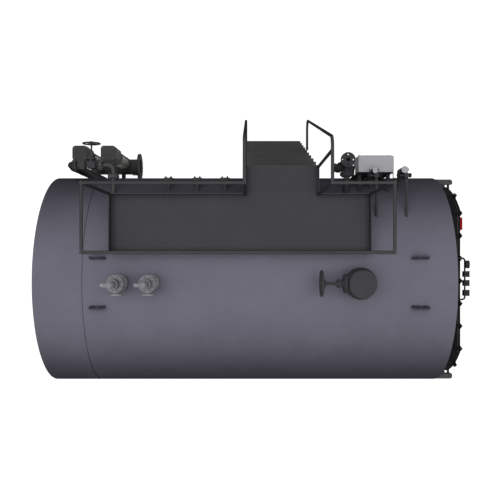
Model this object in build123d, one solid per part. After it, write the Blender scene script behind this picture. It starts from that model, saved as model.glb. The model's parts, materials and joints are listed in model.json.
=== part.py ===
from build123d import *
import os
from math import cos, radians, sin, sqrt

# Industrial fire-tube boiler on a skid, in millimetres, real size.
# +X is the firing end, +Y the side with platform and stair, +Z is up.
# The origin is on the ground under the boiler axis, below the middle cross member.

# Boiler shell
shell_r = 1040
shell_wall = 90
front_x = 1871
rear_x = -1962
plate_t = 30
joint_x = -1510
joint_gap = 8
joint_depth = 8
seat = 0.3

# Skid and saddles
beam_h = 180
beam_w = 120
beam_web = 12
beam_flange = 14
beam_y = 560
beam_end_x = 1790
cross_x = 1250
cross_w = 140
shell_lift = 170
saddle_t = 24
saddle_w = 220
saddle_half = 700
saddle_rise = 590
axis_z = beam_h + shell_lift + shell_r

# Furnace and burner port
furnace_r = 270
furnace_wall = 20
furnace_drop = 230
furnace_end_x = -1300
furnace_z = axis_z - furnace_drop
port_wall = 60
port_reach = 24
port_bolt_r = 302
port_bolt_hole_r = 8.5
port_bolts = 8

# Smoke box and its two doors
smoke_in = 86
smoke_cut = 281
smoke_depth = 129
wrapper_t = 12
door_t = 20
door_gap = 5
leaf_gap = 8
lining_t = 15
lining_inset = 30
port_clear = 8
tube_plate_t = 16
nest_t = 12
nest_gap = 30
nest_edge = 40
tube_hole_r = 34
tube_pitch = 118
door_front_x = front_x + smoke_depth
door_back_x = door_front_x - door_t
smoke_r = shell_r - smoke_in
smoke_flat = smoke_r - smoke_cut
nest_low = furnace_r + port_wall + nest_gap - furnace_drop

# Swing studs round the smoke box
stud_r = 8
stud_out = 22
stud_past = 13
stud_tip = 9
stud_edge = 34
studs_a_side = 3
stud_side_angles = [57.7, 122.3, 155]
ear_w = 46
ear_t = 16
slot_w = 30
ear_rim = 12

# Door hinges
hinge_out_x = 18
hinge_side = 31
pin_r = 10
pin_clear = 0.5
knuckle_r = 19
knuckle_play = 3
hinge_z = 235
hinge_opening = 42
bracket_t = 14
bracket_in = 30
bracket_out = 20
bracket_nose = 23
bracket_chamfer = 16
hinge_y = smoke_r + hinge_side
strap_h = 34
strap_t = 15
strap_in_y = 500

# Instruments over the smoke box
rail_over = 159
bar_r = 8
bar_x_out = 122
bar_north_y = 217
bar_south_y = -166
switch_w = 53
switch_h = 70
switch_d = 48
switch_back = 13
switch_ys = [70, -13, -105]
dial_r = 35
dial_t = 30
dial_y = 161
dial_neck_r = 7
dial_neck_l = 16
dial_rim = 3
red_y0 = 485
red_w = 121
red_h = 150
red_t = 38
red_down = 203
rail_rise = smoke_flat + rail_over

# Lifting lugs
lug_angle = 11.9
lug_t = 14
lug_top = 107
lug_hole_r = 24
lug_rear_x0 = -1441
lug_rear_x1 = -1302
lug_front_x0 = 1455
lug_front_x1 = 1606

# Rear end
flue_r = 200
flue_wall = 12
flue_out = 75
flue_rise = 450
flue_flange_r = 262
flue_flange_t = 16
flue_bolt_r = 236
flue_bolts = 12
flue_bolt_hole_r = 9
access_r = 250
access_drop = 420
access_t = 32
access_boss_r = 205
access_boss_t = 14

# Platform on the north side of the top
deck_clear = 62
deck_x0 = -1238
deck_x1 = 1062
deck_in = 253
deck_w = 512
deck_t = 8
edge_h = 60
edge_t = 8
rail_h = 1098
rail_r = 13
toe_h = 100
toe_t = 6
deck_lip = 14
bracket_xs = [-1080, -400, 300, 820]
web_t = 12
web_hole_r = 60
web_hole_in = 120
deck_top = axis_z + shell_r + deck_clear
deck_y1 = shell_r - deck_in
deck_y0 = deck_y1 - deck_w

# Landing and stair
stair_x0 = -41
stair_x1 = 605
stringer_t = 12
stringer_w = 150
landing_out = 9
landing_y = shell_r + landing_out
risers = 10
going = 63
tread_d = 132
tread_t = 30
landing_post_back = 20
rail_kink_y = 76
rail_foot_z = 1309
rail_foot_y = 618
rail_bend = 90
foot_pad_t = 10
foot_pad_w = 90
foot_pad_l = 180

# Steam stop valve
steam_x = 967
steam_pipe_r = 75
steam_flange_r = 119
steam_flange_t = 28
steam_bolt_r = 98
steam_bolts = 8
steam_hole_r = 9
steam_neck = 42
steam_bulb_r = 141
steam_stem_rise = 183
steam_top_rise = 324
steam_bonnet_r = 62
steam_bonnet_flange_r = 82
steam_bonnet_flange_t = 28
steam_bonnet_out = 135
steam_gland_r = 38
steam_gland_t = 22
steam_gland_neck_r = 27
steam_gland_out = 203
steam_stem_r = 13
steam_wheel_out = 342
steam_wheel_r = 117
steam_rim_r = 13
steam_hub_r = 26
steam_hub_l = 36
steam_spoke_r = 9
steam_end_r = 90
steam_bulb_h = 192
steam_cone_r = 46
steam_cone_l = 25
stem_clear = 0.5
wheel_spokes = 5
rim_sides = 10

# Safety valves
safety_xs = [-1165, -885]
safety_pipe_r = 38
safety_flange_r = 75
safety_flange_t = 18
safety_neck = 44
safety_body_r = 54
safety_neck_r = 40
safety_arm_r = 34
safety_edge = 8
safety_disc_r = 76
safety_disc_t = 27
safety_disc_rise = 272
safety_bonnet_r = 46
safety_bonnet_rise = 380
safety_spring_r = 34
safety_spring_rise = 478
safety_cap_r = 26
safety_cap_rise = 523
safety_out_y = 104
safety_out_rise = 185
safety_out_r = 58
safety_out_t = 16
safety_out_bore = 25
safety_out_bolt_r = 44
safety_out_holes = 4
safety_out_hole_r = 7
lever_rise = 488
lever_l = 64
lever_w = 26
lever_tip_r = 15
lever_t = 10

# Blind nozzles on the north shoulder
blind_xs = [-785, -507, -242]
blind_z = 582
blind_r = 16
blind_flange_r = 48
blind_flange_t = 14
blind_out = 53

# Feed water line
feed_z = 645
feed_x = -1304
feed_r = 18
feed_out = 65
feed_bend = 60
feed_flange_r = 54
feed_flange_t = 14
feed_flange_back = 124
feed_joint_x = -1425
feed_valve_x = -1514
feed_end_r = 23
feed_body_r = 37
feed_body_l = 70
feed_cap_r = 40
feed_cap_out = 53
feed_bonnet_r = 26
feed_bonnet_out = 96
feed_stem_r = 9
feed_wheel_out = 205
feed_wheel_r = 88
feed_rim_r = 8
feed_spoke_r = 5.5
feed_hub_r = 16
feed_hub_l = 22
check_x = -1605
check_r = 38
check_l = 66
check_cap_r = 30
check_cap_rise = 53
riser_x = -1714
riser_r = 34
feed_y = shell_r + feed_out
feed_level = axis_z + feed_z

# Feed pumps
pump_xs = [-1824, -1520]
pump_out = 292
motor_w = 161
motor_h = 335
motor_round = 34
pump_h = 1234
barrel_r = 67
barrel_edge = 8
lantern_h = 50
tie_r = 6
tie_ring_r = 77
tie_rods = 4
pump_foot_r = 86
pump_foot_t = 40
pump_foot_z = 284
neck_r = 42
outlet_r = 24
pump_flange_r = 49
header_z = 304
fin_count = 6
fin_w = 8
fin_d = 5
fin_h = 235
pump_y = shell_r + pump_out

# Suction manifold
manifold_r = 93
manifold_z = 173
manifold_out = 268
manifold_x0 = -1912
manifold_x1 = -1334
manifold_wall = 8
manifold_cap = 24
manifold_cap_in = 34
manifold_bore_l = 104
manifold_flange_r = 160
manifold_flange_t = 26
manifold_bolt_r = 132
manifold_bolts = 8
manifold_hole_r = 9
cradle_xs = [-1672, -1430]
cradle_t = 16
cradle_w = 170
cradle_foot_w = 64
manifold_y = shell_r + manifold_out

# Angle valve near the front
angle_x = 924
angle_z = 624
angle_pipe_r = 30
angle_flange_r = 62
angle_flange_t = 16
angle_flange_back = 21
angle_out = 104
angle_body_r = 40
angle_top = 126
angle_bend = 50
angle_top_r = 70
angle_top_t = 18
angle_bore = 18
angle_bolt_r = 49
angle_hole_r = 7
angle_holes = 4
actuator_r = 34
actuator_l = 100
actuator_cap_r = 42
actuator_cap_t = 20

# Control cabinet
cabinet_x0 = 1025
cabinet_x1 = 1357
cabinet_in = 10
cabinet_d = 153
cabinet_z0 = 499
cabinet_h = 229
cabinet_round = 10
cabinet_door_t = 5
cabinet_door_in = 14
back_plate_t = 8
back_plate_drop = 300
arm_w = 36
arm_h = 30
arm_in = 30
arm_low = 90
arm_high = 390

# Water level gauges
gauge_xs = [1171, 1450]
gauge_top_z = 842
gauge_low_z = 540
gauge_pipe_r = 12
gauge_in = 55
gauge_cock_r = 19
gauge_glass_r = 11
gauge_out = 62
gauge_cap_r = 23
gauge_cap_t = 16
gauge_arm = 60
gauge_arm_r = 8
gauge_nut_r = 15
gauge_nut_in = 42
gauge_guard_w = 40
gauge_guard_t = 5
gauge_guard_in = 39


def block(x0, x1, y0, y1, z0, z1):
    box = Box(x1 - x0, y1 - y0, z1 - z0)
    return Pos((x0 + x1) / 2, (y0 + y1) / 2, (z0 + z1) / 2) * box


def rod(radius, start, end):
    run = Vector(*end) - Vector(*start)
    low = (Align.CENTER, Align.CENTER, Align.MIN)
    return Plane(origin=start, z_dir=run) * Cylinder(radius, run.length, align=low)


def along_x(radius, x0, x1, y, z):
    return rod(radius, (x0, y, z), (x1, y, z))


def flange(radius, thickness, point, direction, holes=0, bolt_r=0, hole_r=0):
    low = (Align.CENTER, Align.CENTER, Align.MIN)
    disc = Cylinder(radius, thickness, align=low)
    if holes:
        disc -= PolarLocations(bolt_r, holes) * Cylinder(hole_r, thickness, align=low)
    return Plane(origin=point, z_dir=direction) * disc


def turned(points, place):
    outline = make_face(Polyline(*points, close=True))
    return place * revolve(Plane.XZ * outline, Axis.Z)


def pipe_run(points, radius, bend):
    route = FilletPolyline(*points, radius=bend)
    return sweep(Plane(origin=route @ 0, z_dir=route % 0) * Circle(radius), path=route)


def handwheel(centre, direction, wheel_r, rim_r, hub_r, hub_l, spoke_r):
    ring_r = wheel_r - rim_r
    section = Plane.XZ * Pos(ring_r, 0) * RegularPolygon(rim_r, rim_sides)
    wheel = revolve(section, Axis.Z) + Cylinder(hub_r, hub_l)
    for number in range(wheel_spokes):
        turn = radians(360 * (number + 0.5) / wheel_spokes)
        inner = (hub_r / 2 * cos(turn), hub_r / 2 * sin(turn), 0)
        tip = (ring_r * cos(turn), ring_r * sin(turn), 0)
        wheel += rod(spoke_r, inner, tip)
    return Plane(origin=centre, z_dir=direction) * wheel


def shell_cut(extra):
    return along_x(shell_r + extra, rear_x - shell_r, front_x + shell_r, 0, axis_z)


def tube_ring(outer, inner, x0, x1):
    return along_x(outer, x0, x1, 0, axis_z) - along_x(inner, x0, x1, 0, axis_z)


def smoke_disc(radius, flat, x0, x1):
    limit = block(x0, x1, -radius, radius, axis_z - radius, axis_z + flat)
    return along_x(radius, x0, x1, 0, axis_z) & limit


def main_cladding():
    return tube_ring(shell_r, shell_r - shell_wall, joint_x + joint_gap / 2, front_x - plate_t)


def rear_cladding():
    """The rear casing with the sunk ring that closes the joint to the main one."""
    inner = shell_r - shell_wall
    low, high = joint_x - joint_gap / 2, joint_x + joint_gap / 2
    casing = tube_ring(shell_r, inner, rear_x + plate_t, low)
    return casing + tube_ring(shell_r - joint_depth, inner, low, high)


def front_end_plate():
    plate = along_x(shell_r, front_x - plate_t, front_x, 0, axis_z)
    return plate - along_x(furnace_r, front_x - plate_t, front_x, 0, furnace_z)


def rear_end_plate():
    plate = along_x(shell_r, rear_x, rear_x + plate_t, 0, axis_z)
    return plate - along_x(flue_r, rear_x, rear_x + plate_t, 0, axis_z + flue_rise)


def furnace_tube():
    tube = along_x(furnace_r + furnace_wall, furnace_end_x, front_x - plate_t, 0, furnace_z)
    inside_x = furnace_end_x + furnace_wall
    return tube - along_x(furnace_r, inside_x, front_x - plate_t, 0, furnace_z)


def burner_port():
    end_x = door_front_x + port_reach
    collar = along_x(furnace_r + port_wall, front_x + tube_plate_t, end_x, 0, furnace_z)
    collar -= along_x(furnace_r, front_x + tube_plate_t, end_x, 0, furnace_z)
    depth = port_reach + door_t
    for number in range(port_bolts):
        turn = radians(360 * (number + 0.5) / port_bolts)
        y = port_bolt_r * cos(turn)
        z = furnace_z + port_bolt_r * sin(turn)
        collar -= along_x(port_bolt_hole_r, end_x - depth, end_x, y, z)
    return collar


def tube_plate():
    inner = smoke_r - wrapper_t - seat
    plate = smoke_disc(inner, smoke_flat - wrapper_t - seat, front_x, front_x + tube_plate_t)
    return plate - along_x(furnace_r, front_x, front_x + tube_plate_t, 0, furnace_z)


def tube_nest():
    x0 = front_x + tube_plate_t
    radius = smoke_r - wrapper_t - nest_edge
    top = smoke_flat - wrapper_t - nest_edge
    low = block(x0, x0 + nest_t, -radius, radius, axis_z + nest_low, axis_z + top)
    nest = along_x(radius, x0, x0 + nest_t, 0, axis_z) & low
    row_rise = tube_pitch * sqrt(3) / 2
    margin = tube_hole_r + nest_edge / 2
    z = nest_low + margin
    row = 0
    while z < top - margin:
        half = sqrt((radius - margin) ** 2 - z**2)
        shift = (row % 2) * tube_pitch / 2
        steps = int((half - shift) / tube_pitch)
        ys = [shift + tube_pitch * number for number in range(steps + 1)]
        if row % 2:
            ys += [-y for y in ys]
        else:
            ys += [-y for y in ys if y > 0]
        for y in ys:
            nest -= along_x(tube_hole_r, x0, x0 + nest_t, y, axis_z + z)
        z += row_rise
        row += 1
    return nest


def smokebox_wrapper():
    x1 = door_back_x - door_gap
    outer = smoke_disc(smoke_r, smoke_flat, front_x, x1)
    return outer - smoke_disc(smoke_r - wrapper_t, smoke_flat - wrapper_t, front_x, x1)


def stud_places():
    """Stud axes as y, z above the boiler axis and the turn of their ear from upright."""
    places = []
    spacing = (sqrt(smoke_r**2 - smoke_flat**2) - stud_edge) / studs_a_side
    for number in range(-studs_a_side, studs_a_side + 1):
        places.append((number * spacing, smoke_flat + stud_out, 0))
    radius = smoke_r + stud_out
    for angle in stud_side_angles:
        for side in (1, -1):
            turn = radians(angle)
            places.append((side * radius * sin(turn), radius * cos(turn), -side * angle))
    return places


def door_studs():
    studs = []
    for y, z, turn in stud_places():
        shaft_x = door_front_x + stud_past - stud_tip
        tip = Cone(stud_r, stud_r / 3, stud_tip, align=(Align.CENTER, Align.CENTER, Align.MIN))
        stud = along_x(stud_r, front_x, shaft_x, y, axis_z + z)
        studs.append(stud + Plane(origin=(shaft_x, y, axis_z + z), z_dir=(1, 0, 0)) * tip)
    return studs


def door_ear(y, z, turn):
    ear = Pos(0, 0, -stud_out / 2) * Box(ear_t, ear_w, stud_out + 2 * ear_rim)
    slot = Pos(0, 0, slot_w) * Box(ear_t, slot_w, 2 * slot_w)
    slot += Rot(0, 90, 0) * Cylinder(slot_w / 2, ear_t)
    return Pos(door_front_x - ear_t / 2, y, axis_z + z) * Rot(turn, 0, 0) * (ear - slot)


def hinge_knuckles(side, z):
    pin_x = door_front_x + hinge_out_x
    half = hinge_opening / 2 - knuckle_play
    knuckle = rod(knuckle_r, (pin_x, side * hinge_y, z - half), (pin_x, side * hinge_y, z + half))
    y0, y1 = sorted((side * strap_in_y, side * hinge_y))
    strap_z = strap_h / 2
    strap = block(door_front_x, door_front_x + strap_t, y0, y1, z - strap_z, z + strap_z)
    bore = rod(pin_r + pin_clear, (pin_x, side * hinge_y, z - half), (pin_x, side * hinge_y, z + half))
    return knuckle + strap - bore


def door_leaf(side):
    door = smoke_disc(smoke_r, smoke_flat, door_back_x, door_front_x)
    inner_r = smoke_r - wrapper_t - lining_inset
    inner_flat = smoke_flat - wrapper_t - lining_inset
    door += smoke_disc(inner_r, inner_flat, door_back_x - lining_t, door_back_x)
    for y, z, turn in stud_places():
        door += door_ear(y, z, turn)
    hole_r = furnace_r + port_wall + port_clear
    door -= along_x(hole_r, door_back_x - lining_t, door_front_x, 0, furnace_z)
    reach = smoke_r + stud_out + ear_w
    y0, y1 = sorted((side * leaf_gap / 2, side * reach))
    half = block(front_x, door_front_x, y0, y1, axis_z - reach, axis_z + reach)
    leaf = door & half
    for z in (axis_z + hinge_z, axis_z - hinge_z):
        leaf += hinge_knuckles(side, z)
    return leaf


def hinge_bracket(side, z):
    """Two plates from the end plate with the pin through both and a web behind."""
    pin_x = door_front_x + hinge_out_x
    y0 = hinge_y - bracket_in
    y1 = hinge_y + bracket_out
    nose_x = pin_x + bracket_nose
    half = hinge_opening / 2
    outline = [
        (front_x, side * y0),
        (nose_x, side * y0),
        (nose_x, side * (y1 - bracket_chamfer)),
        (nose_x - bracket_chamfer, side * y1),
        (front_x, side * y1),
    ]
    plate = extrude(make_face(Polyline(*outline, close=True)), bracket_t)
    bracket = Pos(0, 0, z + half) * plate + Pos(0, 0, z - half - bracket_t) * plate
    low, high = sorted((side * y0, side * y1))
    bracket += block(front_x, front_x + bracket_t, low, high, z - half, z + half)
    reach = half + 2 * bracket_t
    bracket += rod(pin_r, (pin_x, side * hinge_y, z - reach), (pin_x, side * hinge_y, z + reach))
    return bracket


def hinge_brackets():
    return [hinge_bracket(side, axis_z + z) for side in (1, -1) for z in (hinge_z, -hinge_z)]


def instrument_rail():
    z = axis_z + rail_rise
    x = front_x + bar_x_out
    points = [
        (front_x, bar_south_y, z),
        (x, bar_south_y, z),
        (x, bar_north_y, z),
        (front_x, bar_north_y, z),
    ]
    rail = pipe_run(points, bar_r, 3 * bar_r)
    for y in switch_ys:
        rail += block(x - switch_back, x - switch_back + switch_d, y - switch_w / 2, y + switch_w / 2,
                      z - switch_h / 2, z + switch_h / 2)
    return rail


def pressure_gauge():
    x = front_x + bar_x_out
    low = axis_z + rail_rise + bar_r + seat
    centre = low + dial_neck_l + dial_r
    neck = rod(dial_neck_r, (x, dial_y, low), (x, dial_y, centre))
    back_x = x - dial_t / 2
    front = back_x + dial_t
    dial = along_x(dial_r, back_x, front, dial_y, centre)
    rim = along_x(dial_r + dial_rim, front - 2 * dial_rim, front + dial_rim, dial_y, centre)
    return neck + dial + (rim - along_x(dial_r - dial_rim, front, front + dial_rim, dial_y, centre))


def red_box():
    low = axis_z + smoke_flat - red_down
    box = block(door_front_x, door_front_x + red_t, red_y0, red_y0 + red_w, low, low + red_h)
    return fillet(box.faces().sort_by(Axis.X)[-1].edges(), red_t / 6)


def lifting_lug(x0, x1, side):
    length = x1 - x0
    low = shell_r - shell_wall / 2
    high = shell_r + lug_top
    plate = Pos(0, 0, (low + high) / 2) * Box(length, lug_t, high - low)
    plate = chamfer(plate.edges().filter_by(Axis.Y).group_by(Axis.Z)[-1], lug_top / 3)
    hole = Pos(0, 0, shell_r + lug_top / 2) * Rot(90, 0, 0) * Cylinder(lug_hole_r, lug_t)
    lug = Pos((x0 + x1) / 2, 0, axis_z) * Rot(-side * lug_angle, 0, 0) * (plate - hole)
    return lug - shell_cut(seat)


def lifting_lugs():
    lugs = []
    for x0, x1 in ((lug_rear_x0, lug_rear_x1), (lug_front_x0, lug_front_x1)):
        for side in (1, -1):
            lugs.append(lifting_lug(x0, x1, side))
    return lugs


def base_beam(side):
    y = side * beam_y
    outer = block(-beam_end_x, beam_end_x, y - beam_w / 2, y + beam_w / 2, 0, beam_h)
    for y0, y1 in ((y - beam_w / 2, y - beam_web / 2), (y + beam_web / 2, y + beam_w / 2)):
        outer -= block(-beam_end_x, beam_end_x, y0, y1, beam_flange, beam_h - beam_flange)
    return outer


def base_cross_members():
    inner = beam_y - beam_w / 2
    members = []
    for x in (-cross_x, 0, cross_x):
        members.append(block(x - cross_w / 2, x + cross_w / 2, -inner, inner, 0, beam_h))
    return members


def saddle(x):
    z0 = beam_h
    top = beam_h + saddle_rise
    plate = block(x - saddle_w / 2, x + saddle_w / 2, -saddle_half, saddle_half, z0, z0 + saddle_t)
    web = block(x - saddle_t / 2, x + saddle_t / 2, -saddle_half, saddle_half, z0, top)
    ribs = plate + web
    for y in (-beam_y, 0, beam_y):
        ribs += block(x - saddle_w / 2, x + saddle_w / 2, y - saddle_t / 2, y + saddle_t / 2, z0, top)
    for side in (1, -1):
        y0, y1 = sorted((side * saddle_half, side * (saddle_half - saddle_t)))
        ribs += block(x - saddle_w / 2, x + saddle_w / 2, y0, y1, z0, top)
    return ribs - shell_cut(seat)


def rear_flue_outlet():
    z = axis_z + flue_rise
    end_x = rear_x - flue_out
    tube = along_x(flue_r + flue_wall, end_x, rear_x, 0, z)
    tube += flange(flue_flange_r, flue_flange_t, (end_x, 0, z), (1, 0, 0),
                   flue_bolts, flue_bolt_r, flue_bolt_hole_r)
    return tube - along_x(flue_r, end_x, rear_x, 0, z)


def rear_access_door():
    z = axis_z - access_drop
    door = along_x(access_r, rear_x - access_t, rear_x, 0, z)
    door = chamfer(door.edges().sort_by(Axis.X)[0], access_t / 3)
    return door + along_x(access_boss_r, rear_x - access_t - access_boss_t, rear_x, 0, z)


def platform_deck():
    x0, x1 = deck_x0 - deck_lip, deck_x1 + deck_lip
    y0, y1 = deck_y0 - deck_lip, deck_y1 + deck_lip
    deck = block(x0, x1, y0, y1, deck_top - deck_t, deck_top)
    frame = block(x0, x1, y0, y1, deck_top - edge_h, deck_top - deck_t)
    frame -= block(x0 + edge_t, x1 - edge_t, y0 + edge_t, y1 - edge_t,
                   deck_top - edge_h, deck_top - deck_t)
    return deck + frame


def corner_posts(extra):
    """Post cylinders used for the posts and for the ends that meet them."""
    spots = [(deck_x0, deck_y0), (deck_x1, deck_y0), (deck_x0, deck_y1), (deck_x1, deck_y1)]
    spots += [(stair_x0, deck_y1), (stair_x1, deck_y1)]
    top = deck_top + rail_h
    return {spot: rod(rail_r + extra, (*spot, deck_top), (*spot, top)) for spot in spots}


def without_posts(shape):
    for post in corner_posts(seat).values():
        shape -= post
    return shape


def toe_board(start, end):
    half = toe_t / 2
    x0, x1 = sorted((start[0], end[0]))
    y0, y1 = sorted((start[1], end[1]))
    if x0 == x1:
        board = block(x0 - half, x0 + half, y0, y1, deck_top, deck_top + toe_h)
    else:
        board = block(x0, x1, y0 - half, y0 + half, deck_top, deck_top + toe_h)
    return without_posts(board)


def toe_boards():
    landing_end = landing_y - landing_post_back - rail_r - seat
    return [
        toe_board((deck_x0, deck_y0), (deck_x1, deck_y0)),
        toe_board((deck_x0, deck_y0), (deck_x0, deck_y1)),
        toe_board((deck_x1, deck_y0), (deck_x1, deck_y1)),
        toe_board((deck_x0, deck_y1), (stair_x0, deck_y1)),
        toe_board((stair_x1, deck_y1), (deck_x1, deck_y1)),
        toe_board((stair_x0, deck_y1), (stair_x0, landing_end)),
        toe_board((stair_x1, deck_y1), (stair_x1, landing_end)),
    ]


def guard_rail(start, end, own_posts):
    run = Vector(*end) - Vector(*start)
    step = run.normalized() * (rail_r + seat)
    low = Vector(*start) if start in own_posts else Vector(*start) + step
    high = Vector(*end) if end in own_posts else Vector(*end) - step
    z = deck_top + rail_h - rail_r
    rail = rod(rail_r, (low.X, low.Y, z), (high.X, high.Y, z))
    for spot in own_posts:
        rail += corner_posts(0)[spot]
    return rail


def guard_rails():
    south_west, south_east = (deck_x0, deck_y0), (deck_x1, deck_y0)
    north_west, north_east = (deck_x0, deck_y1), (deck_x1, deck_y1)
    return {
        "guard_rail_south": guard_rail(south_west, south_east, [south_west, south_east]),
        "guard_rail_west": guard_rail(south_west, north_west, [north_west]),
        "guard_rail_east": guard_rail(south_east, north_east, [north_east]),
        "guard_rail_north": [
            guard_rail(north_west, (stair_x0, deck_y1), [(stair_x0, deck_y1)]),
            guard_rail((stair_x1, deck_y1), north_east, [(stair_x1, deck_y1)]),
        ],
    }


def platform_bracket(x):
    under = deck_top - edge_h
    y0 = deck_y0 - deck_lip
    y1 = deck_y1 + deck_lip
    web = block(x - web_t / 2, x + web_t / 2, y0, y1, axis_z, under) - shell_cut(seat)
    hole_y = y1 - web_hole_in
    hole_z = (under + axis_z + sqrt(shell_r**2 - hole_y**2)) / 2
    web -= rod(web_hole_r, (x - web_t, hole_y, hole_z), (x + web_t, hole_y, hole_z))
    top = block(x - edge_h / 2, x + edge_h / 2, y0, y1, under - web_t, under)
    return web + top


def platform_brackets():
    return [platform_bracket(x) for x in bracket_xs]


def landing_deck():
    x0, x1 = stair_x0 - stringer_t / 2, stair_x1 + stringer_t / 2
    y0 = deck_y1 + deck_lip
    deck = block(x0, x1, y0, landing_y, deck_top - deck_t, deck_top)
    frame = block(x0, x1, y0, landing_y, deck_top - edge_h, deck_top - deck_t)
    frame -= block(x0 + stringer_t, x1 - stringer_t, y0 + edge_t, landing_y - edge_t,
                   deck_top - edge_h, deck_top - deck_t)
    return deck + frame


def nosing_y(z):
    return landing_y + going * (deck_top - z) / (deck_top / risers)


def stringer(x):
    top = deck_top - edge_h
    foot_z = deck_top / risers
    foot_y = nosing_y(foot_z)
    outline = [
        (foot_y, 0),
        (foot_y, foot_z),
        (nosing_y(top), top),
        (nosing_y(top) - stringer_w, top),
        (nosing_y(0) - stringer_w, 0),
    ]
    face = Plane.YZ * make_face(Polyline(*outline, close=True))
    beam = Pos(x - stringer_t / 2, 0, 0) * extrude(face, stringer_t)
    pad = block(x - foot_pad_w / 2, x + foot_pad_w / 2, foot_y - foot_pad_l, foot_y, 0, foot_pad_t)
    return beam + pad


def stair_stringers():
    return [stringer(stair_x0), stringer(stair_x1)]


def stair_treads():
    x0, x1 = stair_x0 + stringer_t / 2, stair_x1 - stringer_t / 2
    treads = []
    for number in range(1, risers):
        z = deck_top - number * deck_top / risers
        y = nosing_y(z)
        tread = block(x0, x1, y - tread_d, y, z - tread_t, z)
        hollow = block(x0, x1, y - tread_d + deck_t, y - deck_t, z - tread_t, z - deck_t)
        treads.append(tread - hollow)
    return treads


def stair_rail(x):
    top = deck_top + rail_h - rail_r
    kink = landing_y + rail_kink_y
    foot_y = landing_y + rail_foot_y
    end_y = nosing_y(rail_foot_z - rail_r) + seat
    start_y = deck_y1 + rail_r + seat
    points = [
        (x, start_y, top),
        (x, kink, top),
        (x, foot_y, rail_foot_z),
        (x, end_y, rail_foot_z),
    ]
    rail = pipe_run(points, rail_r, rail_bend)
    post_y = landing_y - landing_post_back
    return rail + rod(rail_r, (x, post_y, deck_top), (x, post_y, top))


def top_nozzle(x, pipe_r, ring_r, ring_t, neck):
    low = axis_z + shell_r + neck
    pipe = rod(pipe_r, (x, 0, axis_z + shell_r / 2), (x, 0, low)) - shell_cut(seat)
    return pipe + flange(ring_r, ring_t, (x, 0, low - ring_t), (0, 0, 1))


def top_nozzles():
    nozzles = [top_nozzle(steam_x, steam_pipe_r, steam_flange_r, steam_flange_t, steam_neck)]
    for x in safety_xs:
        nozzles.append(top_nozzle(x, safety_pipe_r, safety_flange_r, safety_flange_t, safety_neck))
    return nozzles


def steam_body_shell(base, centre, top):
    """Two flanges on short cones with the round body swelling between them."""
    half = steam_bulb_h / 2
    low, high = base + steam_flange_t, top - steam_flange_t
    bulge = ThreePointArc((steam_end_r, -half), (steam_bulb_r, 0), (steam_end_r, half))
    lower = Polyline(
        (0, base - centre),
        (steam_flange_r, base - centre),
        (steam_flange_r, low - centre),
        (steam_pipe_r, low - centre),
        (steam_end_r, -half),
    )
    upper = Polyline(
        (steam_end_r, half),
        (steam_pipe_r, high - centre),
        (steam_flange_r, high - centre),
        (steam_flange_r, top - centre),
        (0, top - centre),
        (0, base - centre),
    )
    shell = revolve(Plane.XZ * make_face(Wire([*lower.edges(), *bulge.edges(), *upper.edges()])), Axis.Z)
    for angle in range(steam_bolts):
        turn = radians(360 * (angle + 0.5) / steam_bolts)
        spot = (steam_bolt_r * cos(turn), steam_bolt_r * sin(turn))
        shell -= rod(steam_hole_r, (*spot, high - centre), (*spot, top - centre))
    return Pos(steam_x, 0, centre) * shell


def steam_valve_body():
    base = axis_z + shell_r + steam_neck
    centre = axis_z + shell_r + steam_stem_rise
    top = axis_z + shell_r + steam_top_rise
    body = steam_body_shell(base, centre, top)
    bonnet_x = steam_x - steam_bonnet_out
    ring_low = steam_bonnet_out - steam_bonnet_flange_t / 2
    ring_high = steam_bonnet_out + steam_bonnet_flange_t / 2
    bonnet = [
        (0, 0),
        (steam_bonnet_r, 0),
        (steam_bonnet_r, ring_low),
        (steam_bonnet_flange_r, ring_low),
        (steam_bonnet_flange_r, ring_high),
        (steam_cone_r, ring_high),
        (steam_gland_neck_r, ring_high + steam_cone_l),
        (steam_gland_neck_r, steam_gland_out - steam_gland_t),
        (steam_gland_r, steam_gland_out - steam_gland_t),
        (steam_gland_r, steam_gland_out),
        (0, steam_gland_out),
    ]
    body += turned(bonnet, Plane(origin=(steam_x, 0, centre), z_dir=(-1, 0, 0)))
    return body - along_x(steam_stem_r + stem_clear, steam_x - steam_gland_out, bonnet_x, 0, centre)


def steam_handwheel():
    centre = axis_z + shell_r + steam_stem_rise
    wheel_x = steam_x - steam_wheel_out
    wheel = handwheel((wheel_x, 0, centre), (1, 0, 0), steam_wheel_r, steam_rim_r,
                      steam_hub_r, steam_hub_l, steam_spoke_r)
    stem_end = steam_x - steam_bonnet_out - 1
    return wheel + along_x(steam_stem_r, wheel_x, stem_end, 0, centre)


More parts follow.
